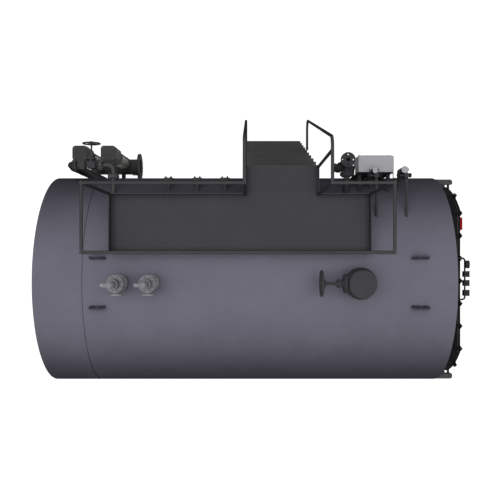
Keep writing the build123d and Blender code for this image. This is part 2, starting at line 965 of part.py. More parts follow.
def safety_valve(x):
    low = safety_neck
    flange_top = low + safety_flange_t
    points = [
        (0, low),
        (safety_flange_r, low),
        (safety_flange_r, flange_top),
        (safety_neck_r, flange_top + safety_flange_t),
        (safety_body_r, safety_out_rise - safety_body_r / 2),
        (safety_body_r, safety_disc_rise - safety_disc_t),
        (safety_disc_r, safety_disc_rise - safety_disc_t),
        (safety_disc_r, safety_disc_rise),
        (safety_bonnet_r, safety_disc_rise),
        (safety_bonnet_r, safety_bonnet_rise),
        (safety_spring_r, safety_bonnet_rise + safety_edge),
        (safety_spring_r, safety_spring_rise),
        (safety_cap_r, safety_spring_rise + safety_edge),
        (safety_cap_r, safety_cap_rise - safety_edge),
        (safety_cap_r - safety_edge, safety_cap_rise),
        (0, safety_cap_rise),
    ]
    valve = turned(points, Pos(x, 0, axis_z + shell_r))
    out_z = axis_z + shell_r + safety_out_rise
    valve += rod(safety_arm_r, (x, 0, out_z), (x, -safety_out_y, out_z))
    valve += flange(safety_out_r, safety_out_t, (x, -safety_out_y, out_z), (0, 1, 0),
                    safety_out_holes, safety_out_bolt_r, safety_out_hole_r)
    valve -= rod(safety_out_bore, (x, -safety_out_y, out_z), (x, -safety_body_r / 2, out_z))
    lever_z = axis_z + shell_r + lever_rise
    valve += block(x - lever_l, x, -lever_w / 2, lever_w / 2, lever_z, lever_z + lever_t)
    valve += rod(lever_tip_r, (x - lever_l, 0, lever_z), (x - lever_l, 0, lever_z + lever_t))
    return valve


def blind_nozzles():
    z = axis_z + blind_z
    end = shell_r - blind_out
    nozzles = []
    for x in blind_xs:
        pipe = rod(blind_r, (x, shell_r / 2, z), (x, end, z)) - shell_cut(seat)
        nozzles.append(pipe + flange(blind_flange_r, 2 * blind_flange_t, (x, end, z), (0, -1, 0)))
    return nozzles


def feed_pipe():
    """Shell nozzle, first bend and the stub to the stop valve."""
    z = feed_level
    points = [(feed_x, shell_r / 2, z), (feed_x, feed_y, z), (feed_joint_x, feed_y, z)]
    pipe = pipe_run(points, feed_r, feed_bend) - shell_cut(seat)
    back = feed_y - feed_flange_back
    pipe += flange(feed_flange_r, 2 * feed_flange_t, (feed_x, back, z), (0, 1, 0))
    return pipe + flange(feed_flange_r, feed_flange_t, (feed_joint_x, feed_y, z), (1, 0, 0))


def feed_stop_valve():
    z = feed_level
    end_x = (feed_valve_x + check_x) / 2
    body = along_x(feed_end_r, end_x, feed_joint_x, feed_y, z)
    body += flange(feed_flange_r, feed_flange_t, (feed_joint_x, feed_y, z), (-1, 0, 0))
    low = (feed_valve_x, feed_y, z - feed_body_l / 2)
    body += rod(feed_body_r, low, (feed_valve_x, feed_y, z + feed_body_l / 2))
    body += rod(feed_bonnet_r, (feed_valve_x, feed_y, z), (feed_valve_x, feed_y + feed_bonnet_out, z))
    cap_y = feed_y + feed_cap_out
    body += flange(feed_cap_r, feed_flange_t, (feed_valve_x, cap_y, z), (0, 1, 0))
    low = (feed_valve_x, feed_y + feed_bonnet_out / 2, z)
    bore = rod(feed_stem_r + stem_clear, low, (feed_valve_x, feed_y + feed_bonnet_out, z))
    return body - bore


def feed_handwheel():
    z = feed_level
    wheel_y = feed_y + feed_wheel_out
    wheel = handwheel((feed_valve_x, wheel_y, z), (0, 1, 0), feed_wheel_r, feed_rim_r,
                      feed_hub_r, feed_hub_l, feed_spoke_r)
    stem_low = feed_y + feed_bonnet_out / 2 + 1
    stem = rod(feed_stem_r, (feed_valve_x, stem_low, z), (feed_valve_x, wheel_y + feed_hub_l, z))
    return wheel + stem


def feed_check_valve():
    z = feed_level
    x1 = (feed_valve_x + check_x) / 2
    x0 = check_x - check_l
    body = along_x(feed_end_r, x0, x1, feed_y, z)
    body += along_x(check_r, check_x - check_l / 2, check_x + check_l / 2, feed_y, z)
    body += rod(check_cap_r, (check_x, feed_y, z), (check_x, feed_y, z + check_cap_rise))
    return body + flange(feed_flange_r, feed_flange_t, (x0, feed_y, z), (1, 0, 0))


def feed_riser():
    x1 = check_x - check_l
    foot = header_z - riser_r
    points = [(x1, feed_y, feed_level), (riser_x, feed_y, feed_level), (riser_x, feed_y, foot)]
    bend = min(feed_bend, x1 - riser_x - feed_r / 4)
    riser = pipe_run(points, riser_r, bend)
    riser += flange(feed_flange_r, feed_flange_t, (x1, feed_y, feed_level), (-1, 0, 0))
    end_y = pump_y - pump_foot_r - feed_flange_t
    first, last = pump_xs
    corners = [(first, end_y), (first, feed_y), (last, feed_y), (last, end_y)]
    riser += pipe_run([(x, y, header_z) for x, y in corners], outlet_r, feed_bend)
    for x in pump_xs:
        riser += flange(pump_flange_r, feed_flange_t, (x, end_y, header_z), (0, -1, 0))
    return riser


def pump(x):
    place = Pos(x, pump_y, 0)
    motor_z = pump_h - motor_h
    foot_top = pump_foot_z + pump_foot_t
    motor_box = Pos(0, 0, motor_z + motor_h / 2) * Box(motor_w, motor_w, motor_h)
    motor = fillet(motor_box.edges().filter_by(Axis.Z), motor_round)
    motor = chamfer(motor.faces().sort_by(Axis.Z)[-1].edges(), fin_w)
    step = (motor_w - 2 * motor_round) / fin_count
    for number in range(fin_count):
        offset = -motor_w / 2 + motor_round + step * (number + 0.5)
        for side in (1, -1):
            edge = side * motor_w / 2
            groove = Box(fin_w, 2 * fin_d, fin_h)
            motor -= Pos(offset, edge, motor_z + motor_h / 2) * groove
    barrel = turned(
        [
            (0, pump_foot_z),
            (pump_foot_r, pump_foot_z),
            (pump_foot_r, foot_top),
            (barrel_r + barrel_edge, foot_top + barrel_edge),
            (barrel_r, foot_top + barrel_edge),
            (barrel_r, motor_z - lantern_h),
            (pump_foot_r, motor_z - lantern_h),
            (pump_foot_r, motor_z - lantern_h / 2),
            (barrel_r, motor_z - lantern_h / 4),
            (barrel_r, motor_z),
            (0, motor_z),
        ],
        place,
    )
    whole = barrel + place * motor
    for number in range(tie_rods):
        turn = radians(360 * (number + 0.5) / tie_rods)
        y = pump_y + tie_ring_r * sin(turn)
        tie_x = x + tie_ring_r * cos(turn)
        whole += rod(tie_r, (tie_x, y, pump_foot_z + pump_foot_t / 2), (tie_x, y, motor_z - lantern_h / 2))
    outlet_end = pump_y - pump_foot_r - feed_flange_t
    whole += rod(outlet_r, (x, pump_y, header_z), (x, outlet_end, header_z))
    whole += flange(pump_flange_r, feed_flange_t, (x, outlet_end, header_z), (0, 1, 0))
    neck = rod(neck_r, (x, pump_y, manifold_z), (x, pump_y, pump_foot_z))
    drum = along_x(manifold_r + seat, manifold_x0, manifold_x1, manifold_y, manifold_z)
    return whole + (neck - drum)


def suction_manifold():
    drum = along_x(manifold_r, manifold_x0, manifold_x1, manifold_y, manifold_z)
    drum += flange(manifold_flange_r, manifold_flange_t, (manifold_x1, manifold_y, manifold_z),
                   (-1, 0, 0), manifold_bolts, manifold_bolt_r, manifold_hole_r)
    end_x = manifold_x0 - manifold_cap
    cap = along_x(manifold_r, end_x, manifold_x0, manifold_y, manifold_z)
    drum += chamfer(cap.edges().sort_by(Axis.X)[0], manifold_cap / 2, manifold_cap_in)
    for x in cradle_xs:
        y0, y1 = manifold_y - cradle_w / 2, manifold_y + cradle_w / 2
        drum += block(x - cradle_t / 2, x + cradle_t / 2, y0, y1, 0, manifold_z)
        drum += block(x - cradle_foot_w / 2, x + cradle_foot_w / 2, y0, y1, 0, foot_pad_t)
    inner = manifold_r - manifold_wall
    return drum - along_x(inner, manifold_x1 - manifold_bore_l, manifold_x1, manifold_y, manifold_z)


def angle_valve():
    z = axis_z + angle_z
    face_y = shell_r - angle_flange_back
    top_y = shell_r + angle_out
    body = rod(angle_pipe_r, (angle_x, shell_r / 2, z), (angle_x, face_y, z)) - shell_cut(seat)
    body += flange(angle_flange_r, angle_flange_t, (angle_x, face_y, z), (0, -1, 0))
    body += flange(angle_flange_r, angle_flange_t, (angle_x, face_y, z), (0, 1, 0))
    top_z = z + angle_top
    corners = [(face_y, z), (top_y, z), (top_y, top_z)]
    body += pipe_run([(angle_x, y, height) for y, height in corners], angle_body_r, angle_bend)
    body += flange(angle_top_r, angle_top_t, (angle_x, top_y, top_z), (0, 0, -1),
                   angle_holes, angle_bolt_r, angle_hole_r)
    body -= rod(angle_bore, (angle_x, top_y, z + angle_bend), (angle_x, top_y, top_z))
    middle = (face_y + top_y) / 2
    end_x = angle_x - actuator_l
    body += rod(actuator_r, (angle_x, middle, z), (end_x, middle, z))
    return body + flange(actuator_cap_r, actuator_cap_t, (end_x, middle, z), (-1, 0, 0))


def control_cabinet():
    y0 = shell_r - cabinet_in
    z0 = axis_z + cabinet_z0
    box = block(cabinet_x0, cabinet_x1, y0, y0 + cabinet_d, z0, z0 + cabinet_h)
    box = fillet(box.edges().filter_by(Axis.Z), cabinet_round)
    y1 = y0 + cabinet_d
    gap = cabinet_door_in
    door = block(cabinet_x0 + gap, cabinet_x1 - gap, y1, y1 + cabinet_door_t,
                 z0 + gap, z0 + cabinet_h - gap)
    return box + door


def cabinet_arms():
    y1 = shell_r - cabinet_in
    y0 = y1 - back_plate_t
    z0 = axis_z + cabinet_z0 - back_plate_drop
    z1 = axis_z + cabinet_z0 + cabinet_h - cabinet_door_in
    frame = block(cabinet_x0, cabinet_x1, y0, y1, z0, z1)
    for x in (cabinet_x0 + arm_in, cabinet_x1 - arm_in):
        for z in (z0 + arm_low, z0 + arm_high):
            arm = block(x - arm_w / 2, x + arm_w / 2, shell_r / 2, y0, z - arm_h / 2, z + arm_h / 2)
            frame += arm - shell_cut(seat)
    return frame


def level_gauge(x):
    top = axis_z + gauge_top_z
    low = axis_z + gauge_low_z
    y = shell_r - gauge_in
    column = rod(gauge_glass_r, (x, y, low), (x, y, top))
    for z in (top, low):
        column += rod(gauge_pipe_r, (x, shell_r / 3, z), (x, y, z))
        column += Pos(x, y, z) * Box(2 * gauge_cock_r, 2 * gauge_cock_r, 2 * gauge_cock_r)
        column += rod(gauge_cock_r, (x, y - 3 * gauge_cock_r, z), (x, y - 2 * gauge_cock_r, z))
        inner = low + gauge_nut_in if z == low else top - gauge_nut_in
        column += rod(gauge_nut_r, (x, y, z), (x, y, inner))
        column += rod(gauge_arm_r, (x, y, z), (x - gauge_arm, y, z))
    column += rod(gauge_pipe_r, (x, y, top), (x, y + gauge_out, top))
    column += rod(gauge_cap_r, (x, y + gauge_out - gauge_cap_t, top), (x, y + gauge_out, top))
    for side in (1, -1):
        edge = x + side * gauge_guard_w / 2
        inner_low = low + gauge_guard_in
        inner_top = top - gauge_guard_in
        column += block(edge - gauge_guard_t / 2, edge + gauge_guard_t / 2, y - gauge_glass_r,
                        y + gauge_glass_r, inner_low, inner_top)
    for z in (low + gauge_guard_in, top - gauge_guard_in):
        half = (gauge_guard_w + gauge_guard_t) / 2
        column += block(x - half, x + half, y - gauge_glass_r, y + gauge_glass_r,
                        z - gauge_guard_t, z + gauge_guard_t)
    return column - shell_cut(seat)


parts = {
    "main_cladding": main_cladding(),
    "rear_cladding": rear_cladding(),
    "front_end_plate": front_end_plate(),
    "rear_end_plate": rear_end_plate(),
    "furnace_tube": furnace_tube(),
    "burner_port": burner_port(),
    "tube_plate": tube_plate(),
    "tube_nest": tube_nest(),
    "smokebox_wrapper": smokebox_wrapper(),
    "door_studs": door_studs(),
    "door_north": door_leaf(1),
    "door_south": door_leaf(-1),
    "hinge_brackets": hinge_brackets(),
    "instrument_rail": instrument_rail(),
    "pressure_gauge": pressure_gauge(),
    "red_box": red_box(),
    "lifting_lugs": lifting_lugs(),
    "base_beams": [base_beam(1), base_beam(-1)],
    "base_cross_members": base_cross_members(),
    "saddles": [saddle(cross_x), saddle(-cross_x)],
    "rear_flue_outlet": rear_flue_outlet(),
    "rear_access_door": rear_access_door(),
    "platform_deck": platform_deck(),
    "platform_brackets": platform_brackets(),
    "toe_boards": toe_boards(),
    **guard_rails(),
    "landing_deck": landing_deck(),
    "stair_stringers": stair_stringers(),
    "stair_treads": stair_treads(),
    "stair_rails": [stair_rail(stair_x0), stair_rail(stair_x1)],
    "top_nozzles": top_nozzles(),
    "steam_valve_body": steam_valve_body(),
    "steam_handwheel": steam_handwheel(),
    "safety_valves": [safety_valve(x) for x in safety_xs],
    "blind_nozzles": blind_nozzles(),
    "feed_pipe": feed_pipe(),
    "feed_stop_valve": feed_stop_valve(),
    "feed_handwheel": feed_handwheel(),
    "feed_check_valve": feed_check_valve(),
    "feed_riser": feed_riser(),
    "pump_rear": pump(pump_xs[0]),
    "pump_front": pump(pump_xs[1]),
    "suction_manifold": suction_manifold(),
    "angle_valve": angle_valve(),
    "control_cabinet": control_cabinet(),
    "cabinet_arms": cabinet_arms(),
    "level_gauge_rear": level_gauge(gauge_xs[0]),
    "level_gauge_front": level_gauge(gauge_xs[1]),
}

os.makedirs("parts", exist_ok=True)
for name, shape in parts.items():
    pieces = shape if isinstance(shape, list) else [shape]
    solids = [solid for piece in pieces for solid in piece.solids()]
    export_step(solids[0] if len(solids) == 1 else Compound(solids), f"parts/{name}.step")
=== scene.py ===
import math

import bmesh
import bpy
import numpy as np
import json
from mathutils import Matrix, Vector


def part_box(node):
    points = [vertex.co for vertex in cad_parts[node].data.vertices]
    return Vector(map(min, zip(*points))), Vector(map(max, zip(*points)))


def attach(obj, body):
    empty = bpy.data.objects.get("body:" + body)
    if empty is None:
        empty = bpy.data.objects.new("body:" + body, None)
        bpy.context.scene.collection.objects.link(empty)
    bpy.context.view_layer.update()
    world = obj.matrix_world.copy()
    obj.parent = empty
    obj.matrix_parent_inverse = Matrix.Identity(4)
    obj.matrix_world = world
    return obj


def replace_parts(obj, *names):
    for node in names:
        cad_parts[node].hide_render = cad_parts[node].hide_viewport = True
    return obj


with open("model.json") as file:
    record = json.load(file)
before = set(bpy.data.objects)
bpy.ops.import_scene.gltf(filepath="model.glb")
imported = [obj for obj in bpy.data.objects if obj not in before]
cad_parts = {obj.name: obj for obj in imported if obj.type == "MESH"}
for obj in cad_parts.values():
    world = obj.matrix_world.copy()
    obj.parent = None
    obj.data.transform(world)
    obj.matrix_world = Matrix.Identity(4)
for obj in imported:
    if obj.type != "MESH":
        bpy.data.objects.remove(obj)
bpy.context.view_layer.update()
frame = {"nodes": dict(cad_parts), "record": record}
nodes = frame["nodes"]
print("frame loaded:", len(nodes), "nodes")


# Camera of the photograph: straight down over the platform, photo right is the firing end

cameraPlan = dict(place=(0.0, 0.293, 8.668), lens=50.0, sensor=36.0, farEnd=200)


def newObject(name, data):
    thing = bpy.data.objects.new(name, data)
    bpy.context.scene.collection.objects.link(thing)
    return thing


def makeCamera(place, lens, sensor, farEnd):
    data = bpy.data.cameras.new("photoCamera")
    data.lens = lens
    data.sensor_width = sensor
    data.sensor_fit = "HORIZONTAL"
    data.clip_end = farEnd
    camera = newObject("photoCamera", data)
    camera.location = place
    bpy.context.scene.camera = camera


makeCamera(**cameraPlan)


# Shapes: each is a dictionary of points, quads and triangles, joined and placed as whole arrays

east, north, up = (1, 0, 0), (0, 1, 0), (0, 0, 1)
west, south, down = (-1, 0, 0), (0, -1, 0), (0, 0, -1)
bothSides = (1, -1)
noTris = np.zeros((0, 3), int)


def gridIndex(rings):
    # number of each point and of its neighbour round the columns
    rows, cols = rings.shape[:2]
    index = np.arange(rows * cols).reshape(rows, cols)
    return index, np.roll(index, -1, axis=1)


def loft(rings, capped=True):
    # rings is rows x columns x 3: quads join each row to the next and close round the columns,
    # and a fan to the ring's middle closes each end
    rings = np.asarray(rings, float)
    index, after = gridIndex(rings)
    quads = np.stack([index[:-1], after[:-1], after[1:], index[1:]], -1).reshape(-1, 4)
    points = rings.reshape(-1, 3)
    if not capped:
        return dict(points=points, quads=quads, tris=noTris)
    hub = np.full(index.shape[1], len(points))
    tris = np.vstack([np.stack([after[0], index[0], hub], -1), np.stack([index[-1], after[-1], hub + 1], -1)])
    return dict(points=np.vstack([points, rings[0].mean(0), rings[-1].mean(0)]), quads=quads, tris=tris)


def closedLoft(rings):
    # the last row joins the first again, as round a torus
    index, after = gridIndex(rings)
    quads = np.stack([index, after, np.roll(after, -1, axis=0), np.roll(index, -1, axis=0)], -1)
    return dict(points=rings.reshape(-1, 3), quads=quads.reshape(-1, 4), tris=noTris)


def circle(radius, count):
    # radius times the cosine and the sine of evenly spaced turns
    turn = np.linspace(0, 2 * np.pi, count, endpoint=False)
    return radius * np.cos(turn), radius * np.sin(turn)


def swung(profile, sides):
    # each profile pair (radius, height) is swung round +Z
    profile = np.asarray(profile, float)
    x, y = circle(profile[:, :1], sides)
    return np.stack([x, y, np.broadcast_to(profile[:, 1:], x.shape)], -1)


def turned(profile, sides=32):
    # a profile swung round +Z, closed by a fan at both ends
    return loft(swung(profile, sides))


def tube(path, radius, sides=12, over=up, closed=False):
    # a circle carried along the path, square to it; radius may change from point to point
    path = np.asarray(path, float)
    run = np.roll(path, -1, axis=0) - np.roll(path, 1, axis=0) if closed else np.gradient(path, axis=0)
    run /= np.linalg.norm(run, axis=1, keepdims=True)
    side = np.cross(run, np.asarray(over, float))
    side /= np.linalg.norm(side, axis=1, keepdims=True)
    x, y = circle(np.broadcast_to(np.asarray(radius, float), (len(path),))[:, None], sides)
    rings = path[:, None] + x[..., None] * side[:, None] + y[..., None] * np.cross(side, run)[:, None]
    return closedLoft(rings) if closed else loft(rings)


def roundedRing(width, depth, corner, steps=4):
    # outline of a rectangle with quarter circles at its corners, as points round +Z
    arcs = []
    for number, (signX, signY) in enumerate(((1, 1), (-1, 1), (-1, -1), (1, -1))):
        swing = np.linspace(0, np.pi / 2, steps) + number * np.pi / 2
        arcs.append(np.stack([signX * (width / 2 - corner) + corner * np.cos(swing),
                              signY * (depth / 2 - corner) + corner * np.sin(swing)], -1))
    return np.vstack(arcs)


def softBlock(size, corner, edge=None, steps=3):
    # a rounded outline stacked upwards, drawn in at both ends along a quarter circle of radius edge
    width, depth, height = size
    edge = corner * 0.6 if edge is None else edge
    swing = np.linspace(0, np.pi / 2, steps + 1)
    inset = edge * (1 - np.sin(swing))
    level = edge * (1 - np.cos(swing)) - height / 2
    rings = []
    for draw, rise in zip([*inset, *inset[::-1]], [*level, *-level[::-1]]):
        ring = roundedRing(width - 2 * draw, depth - 2 * draw, max(corner - draw, 1e-4))
        rings.append(np.column_stack([ring, np.full(len(ring), rise)]))
    return loft(rings)


def slab(outline, thickness):
    # a flat outline in X and Y, given its thickness upwards
    low = np.column_stack([outline, np.zeros(len(outline))])
    return loft([low, low + (0, 0, thickness)])


def turnTo(axis, spin=0.0):
    # rotation that takes +Z to axis, after a turn by spin about +Z
    axis = np.asarray(axis, float)
    axis = axis / np.linalg.norm(axis)
    side = np.cross(up if abs(axis[2]) < 0.9 else north, axis)
    side /= np.linalg.norm(side)
    twist = np.array([[math.cos(spin), -math.sin(spin), 0], [math.sin(spin), math.cos(spin), 0], [0, 0, 1]])
    return np.column_stack([side, np.cross(axis, side), axis]) @ twist


def placed(shape, place, axis=up, spin=0.0):
    # points turned so that +Z lies along axis, then moved to place
    return dict(shape, points=shape["points"] @ turnTo(axis, spin).T + np.asarray(place, float))


def turnedAt(profile, sides, place, axis=up):
    # a swung profile that stands at place along axis
    return placed(turned(profile, sides), place, axis)


def repeated(shape, turns, places):
    # one copy of the shape for each 3 x 3 turn and each place, all worked out at once
    places = np.asarray(places, float)
    points = np.einsum("nij,pj->npi", turns, shape["points"]) + places[:, None]
    shift = (np.arange(len(places)) * len(shape["points"]))[:, None, None]
    return dict(points=points.reshape(-1, 3), quads=(shape["quads"] + shift).reshape(-1, 4),
                tris=(shape["tris"] + shift).reshape(-1, 3))


def joined(shapes):
    # each shape's faces count on from the points of those before it
    starts = np.cumsum([0] + [len(shape["points"]) for shape in shapes])
    faces = {kind: np.vstack([shape[kind] + start for shape, start in zip(shapes, starts)])
             for kind in ("quads", "tris")}
    return dict(faces, points=np.vstack([shape["points"] for shape in shapes]))


def makePiece(name, shape, material, body="boiler", smooth=40.0):
    # doubles merge, normals face outwards, and edges sharper than smooth, in degrees, stay crisp
    mesh = bpy.data.meshes.new(name)
    mesh.from_pydata(shape["points"].tolist(), [], shape["quads"].tolist() + shape["tris"].tolist())
    work = bmesh.new()
    work.from_mesh(mesh)
    bmesh.ops.remove_doubles(work, verts=work.verts, dist=1e-6)
    bmesh.ops.dissolve_degenerate(work, dist=1e-7, edges=work.edges)
    bmesh.ops.recalc_face_normals(work, faces=work.faces)
    work.to_mesh(mesh)
    work.free()
    mesh.polygons.foreach_set("use_smooth", np.ones(len(mesh.polygons), bool))
    mesh.set_sharp_from_angle(angle=math.radians(smooth))
    mesh.materials.append(materials[material])
    piece = newObject(name, mesh)
    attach(piece, body)
    return piece


# Shader trees: a Graph adds nodes, with values or other nodes' sockets on their inputs

class Graph:
    def __init__(self, tree, given=None):
        self.tree = tree
        self.given = given

    def feed(self, socket, value):
        if isinstance(value, bpy.types.NodeSocket):
            self.tree.links.new(value, socket)
        else:
            socket.default_value = value

    def node(self, kind, settings=None, **inputs):
        node = self.tree.nodes.new("ShaderNode" + kind)
        for label, value in (settings or {}).items():
            setattr(node, label, value)
        for label, value in inputs.items():
            self.feed(node.inputs[int(label[1:]) if label[1:].isdigit() else label.replace("_", " ")], value)
        return node

    def maths(self, operation, first, second=0.0, clamp=False):
        return self.node("Math", dict(operation=operation, use_clamp=clamp), n0=first, n1=second).outputs[0]

    def times(self, first, second, clamp=False):
        return self.maths("MULTIPLY", first, second, clamp)

    def plus(self, first, second, clamp=False):
        return self.maths("ADD", first, second, clamp)

    def ramp(self, value, low, high, outLow=0.0, outHigh=1.0, kind="LINEAR"):
        return self.node("MapRange", dict(clamp=True, interpolation_type=kind), Value=value, From_Min=low,
                         From_Max=high, To_Min=outLow, To_Max=outHigh).outputs[0]

    def blend(self, factor, first, second, kind="MIX"):
        mix = self.node("Mix", dict(data_type="RGBA", blend_type=kind), n0=factor, n6=first, n7=second)
        return mix.outputs[2]

    def place(self):
        return self.node("TexCoord").outputs["Object"]

    def normal(self):
        return self.node("NewGeometry").outputs["Normal"]

    def parts(self, vector):
        return self.node("SeparateXYZ", Vector=vector).outputs

    def noise(self, scale, detail, roughness=0.5, place=None):
        return self.node("TexNoise", Vector=place or self.place(), Scale=scale, Detail=detail,
                         Roughness=roughness).outputs[0]

    def use(self, name, **values):
        node = self.node("Group", dict(node_tree=groups[name]), **values)
        return node.outputs


def newGroup(name, build, **inputs):
    # inputs with their usual values; build gives back the outputs by name
    tree = bpy.data.node_groups.new(name, "ShaderNodeTree")
    kind = dict(socket_type="NodeSocketFloat")
    for label, value in inputs.items():
        tree.interface.new_socket(name=label, in_out="INPUT", **kind).default_value = value
    results = build(Graph(tree, tree.nodes.new("NodeGroupInput").outputs))
    out = tree.nodes.new("NodeGroupOutput")
    for label, value in results.items():
        tree.interface.new_socket(name=label, in_out="OUTPUT", **kind)
        tree.links.new(value, out.inputs[label])
    return tree


def paintGrain(graph):
    # broad and fine noise: a faint drift of shade, the roughness of the coat and its orange peel
    drift, patch, peel = [graph.noise(graph.times(graph.given["Scale"], scale), detail, rough)
                          for scale, detail, rough in ((1.3, 3.0, 0.55), (9.0, 5.0, 0.6), (320.0, 1.0, 0.5))]
    return dict(Drift=graph.plus(graph.times(drift, 0.65), graph.times(patch, 0.35)), Speck=patch, Height=peel)


def edgeWear(graph):
    # where the rounded normal leaves the flat one there is an edge; noise breaks it into rubs
    soft = graph.node("Bevel", dict(samples=4), Radius=graph.given["Width"])
    closeness = graph.node("VectorMath", dict(operation="DOT_PRODUCT"), n0=soft.outputs[0], n1=graph.normal())
    edge = graph.ramp(closeness.outputs["Value"], 0.995, 0.86)
    rubs = graph.noise(graph.times(graph.given["Scale"], 38.0), 4.0, 0.7)
    return dict(Mask=graph.times(graph.times(edge, graph.ramp(rubs, 0.42, 0.62)), graph.given["Amount"], True))


def creviceShadeAndDirt(graph):
    # painted shade and dirt: darker where little sky is seen, and dirt runs down the upright faces
    openness = graph.node("AmbientOcclusion", dict(samples=4), Distance=graph.given["Reach"])
    closed = graph.ramp(openness.outputs["AO"], 0.95, 0.35)
    mottled = graph.times(closed, graph.ramp(graph.noise(24.0, 5.0, 0.65), 0.25, 0.7))
    pulled = graph.node("Mapping", dict(vector_type="POINT"), Vector=graph.place(), Scale=(9.0, 9.0, 0.7))
    runs = graph.ramp(graph.noise(1.6, 4.0, 0.6, pulled.outputs[0]), 0.52, 0.75)
    upright = graph.ramp(graph.maths("ABSOLUTE", graph.parts(graph.normal())["Z"]), 0.75, 0.25)
    streaks = graph.times(graph.times(runs, upright), graph.given["Runs"])
    return dict(Mask=graph.plus(graph.times(mottled, graph.given["Amount"]), streaks, True))


def castSkin(graph):
    # pebbled skin of a sand casting
    grit = graph.node("TexVoronoi", dict(feature="SMOOTH_F1"), Vector=graph.place(),
                      Scale=graph.times(graph.given["Scale"], 210.0), Smoothness=0.6)
    cloud = graph.noise(graph.times(graph.given["Scale"], 60.0), 4.0)
    return dict(Height=graph.plus(graph.times(grit.outputs["Distance"], 0.6), graph.times(cloud, 0.8)))


def treadPlate(graph):
    # raised bars of a chequer plate: lozenges on two crossed slants, one slant to each checker square
    parts = graph.parts(graph.place())
    cells, spots = [], []
    for label in ("X", "Y"):
        along = graph.maths("DIVIDE", parts[label], graph.given["Pitch"])
        cells.append(graph.maths("FLOOR", along))
        spots.append(graph.maths("SUBTRACT", graph.maths("SUBTRACT", along, cells[-1]), 0.5))
    odd = graph.maths("MODULO", graph.maths("ABSOLUTE", graph.plus(*cells)), 2.0)
    even = graph.maths("SUBTRACT", 1.0, odd)
    slants = graph.plus(*spots), graph.maths("SUBTRACT", *spots)
    squares = []
    for (first, second), share in ((slants, 1.5), (slants[::-1], 5.5)):
        way = graph.plus(graph.times(first, odd), graph.times(second, even))
        squares.append(graph.maths("POWER", graph.maths("ABSOLUTE", graph.times(way, share)), 2.0))
    return dict(Height=graph.ramp(graph.plus(*squares), 1.0, 0.55))


def paintedFlankShade(graph):
    # mask for painted shade: full on what faces up, falling away down the flanks as the light falls off there
    ragged = graph.times(graph.maths("SUBTRACT", graph.noise(2.6, 5.0, 0.6), 0.5), 0.10)
    level = graph.plus(graph.parts(graph.normal())["Z"], ragged)
    return dict(Mask=graph.ramp(level, graph.given["Low"], graph.given["High"], kind="SMOOTHSTEP"))


groups = dict(
    grain=newGroup("paintGrain", paintGrain, Scale=1.0),
    wear=newGroup("edgeWear", edgeWear, Width=0.004, Amount=0.5, Scale=1.0),
    shadeAndDirt=newGroup("creviceShadeAndDirt", creviceShadeAndDirt, Reach=0.06, Amount=0.5, Runs=0.0),
    cast=newGroup("castSkin", castSkin, Scale=1.0),
    chequer=newGroup("treadPlate", treadPlate, Pitch=0.03),
    flankShade=newGroup("paintedFlankShade", paintedFlankShade, Low=0.6, High=0.92),
)


# Finishes: colour is what an upward face shows, painted shade darkens flanks and corners, dirt gathers in
# corners, edge is what rubbing bares

def coat(color, edge, rough, wear, drift, shadeAndDirt, **more):
    return dict(more, color=color, edge=edge, rough=rough, wear=wear, drift=drift, shadeAndDirt=shadeAndDirt)


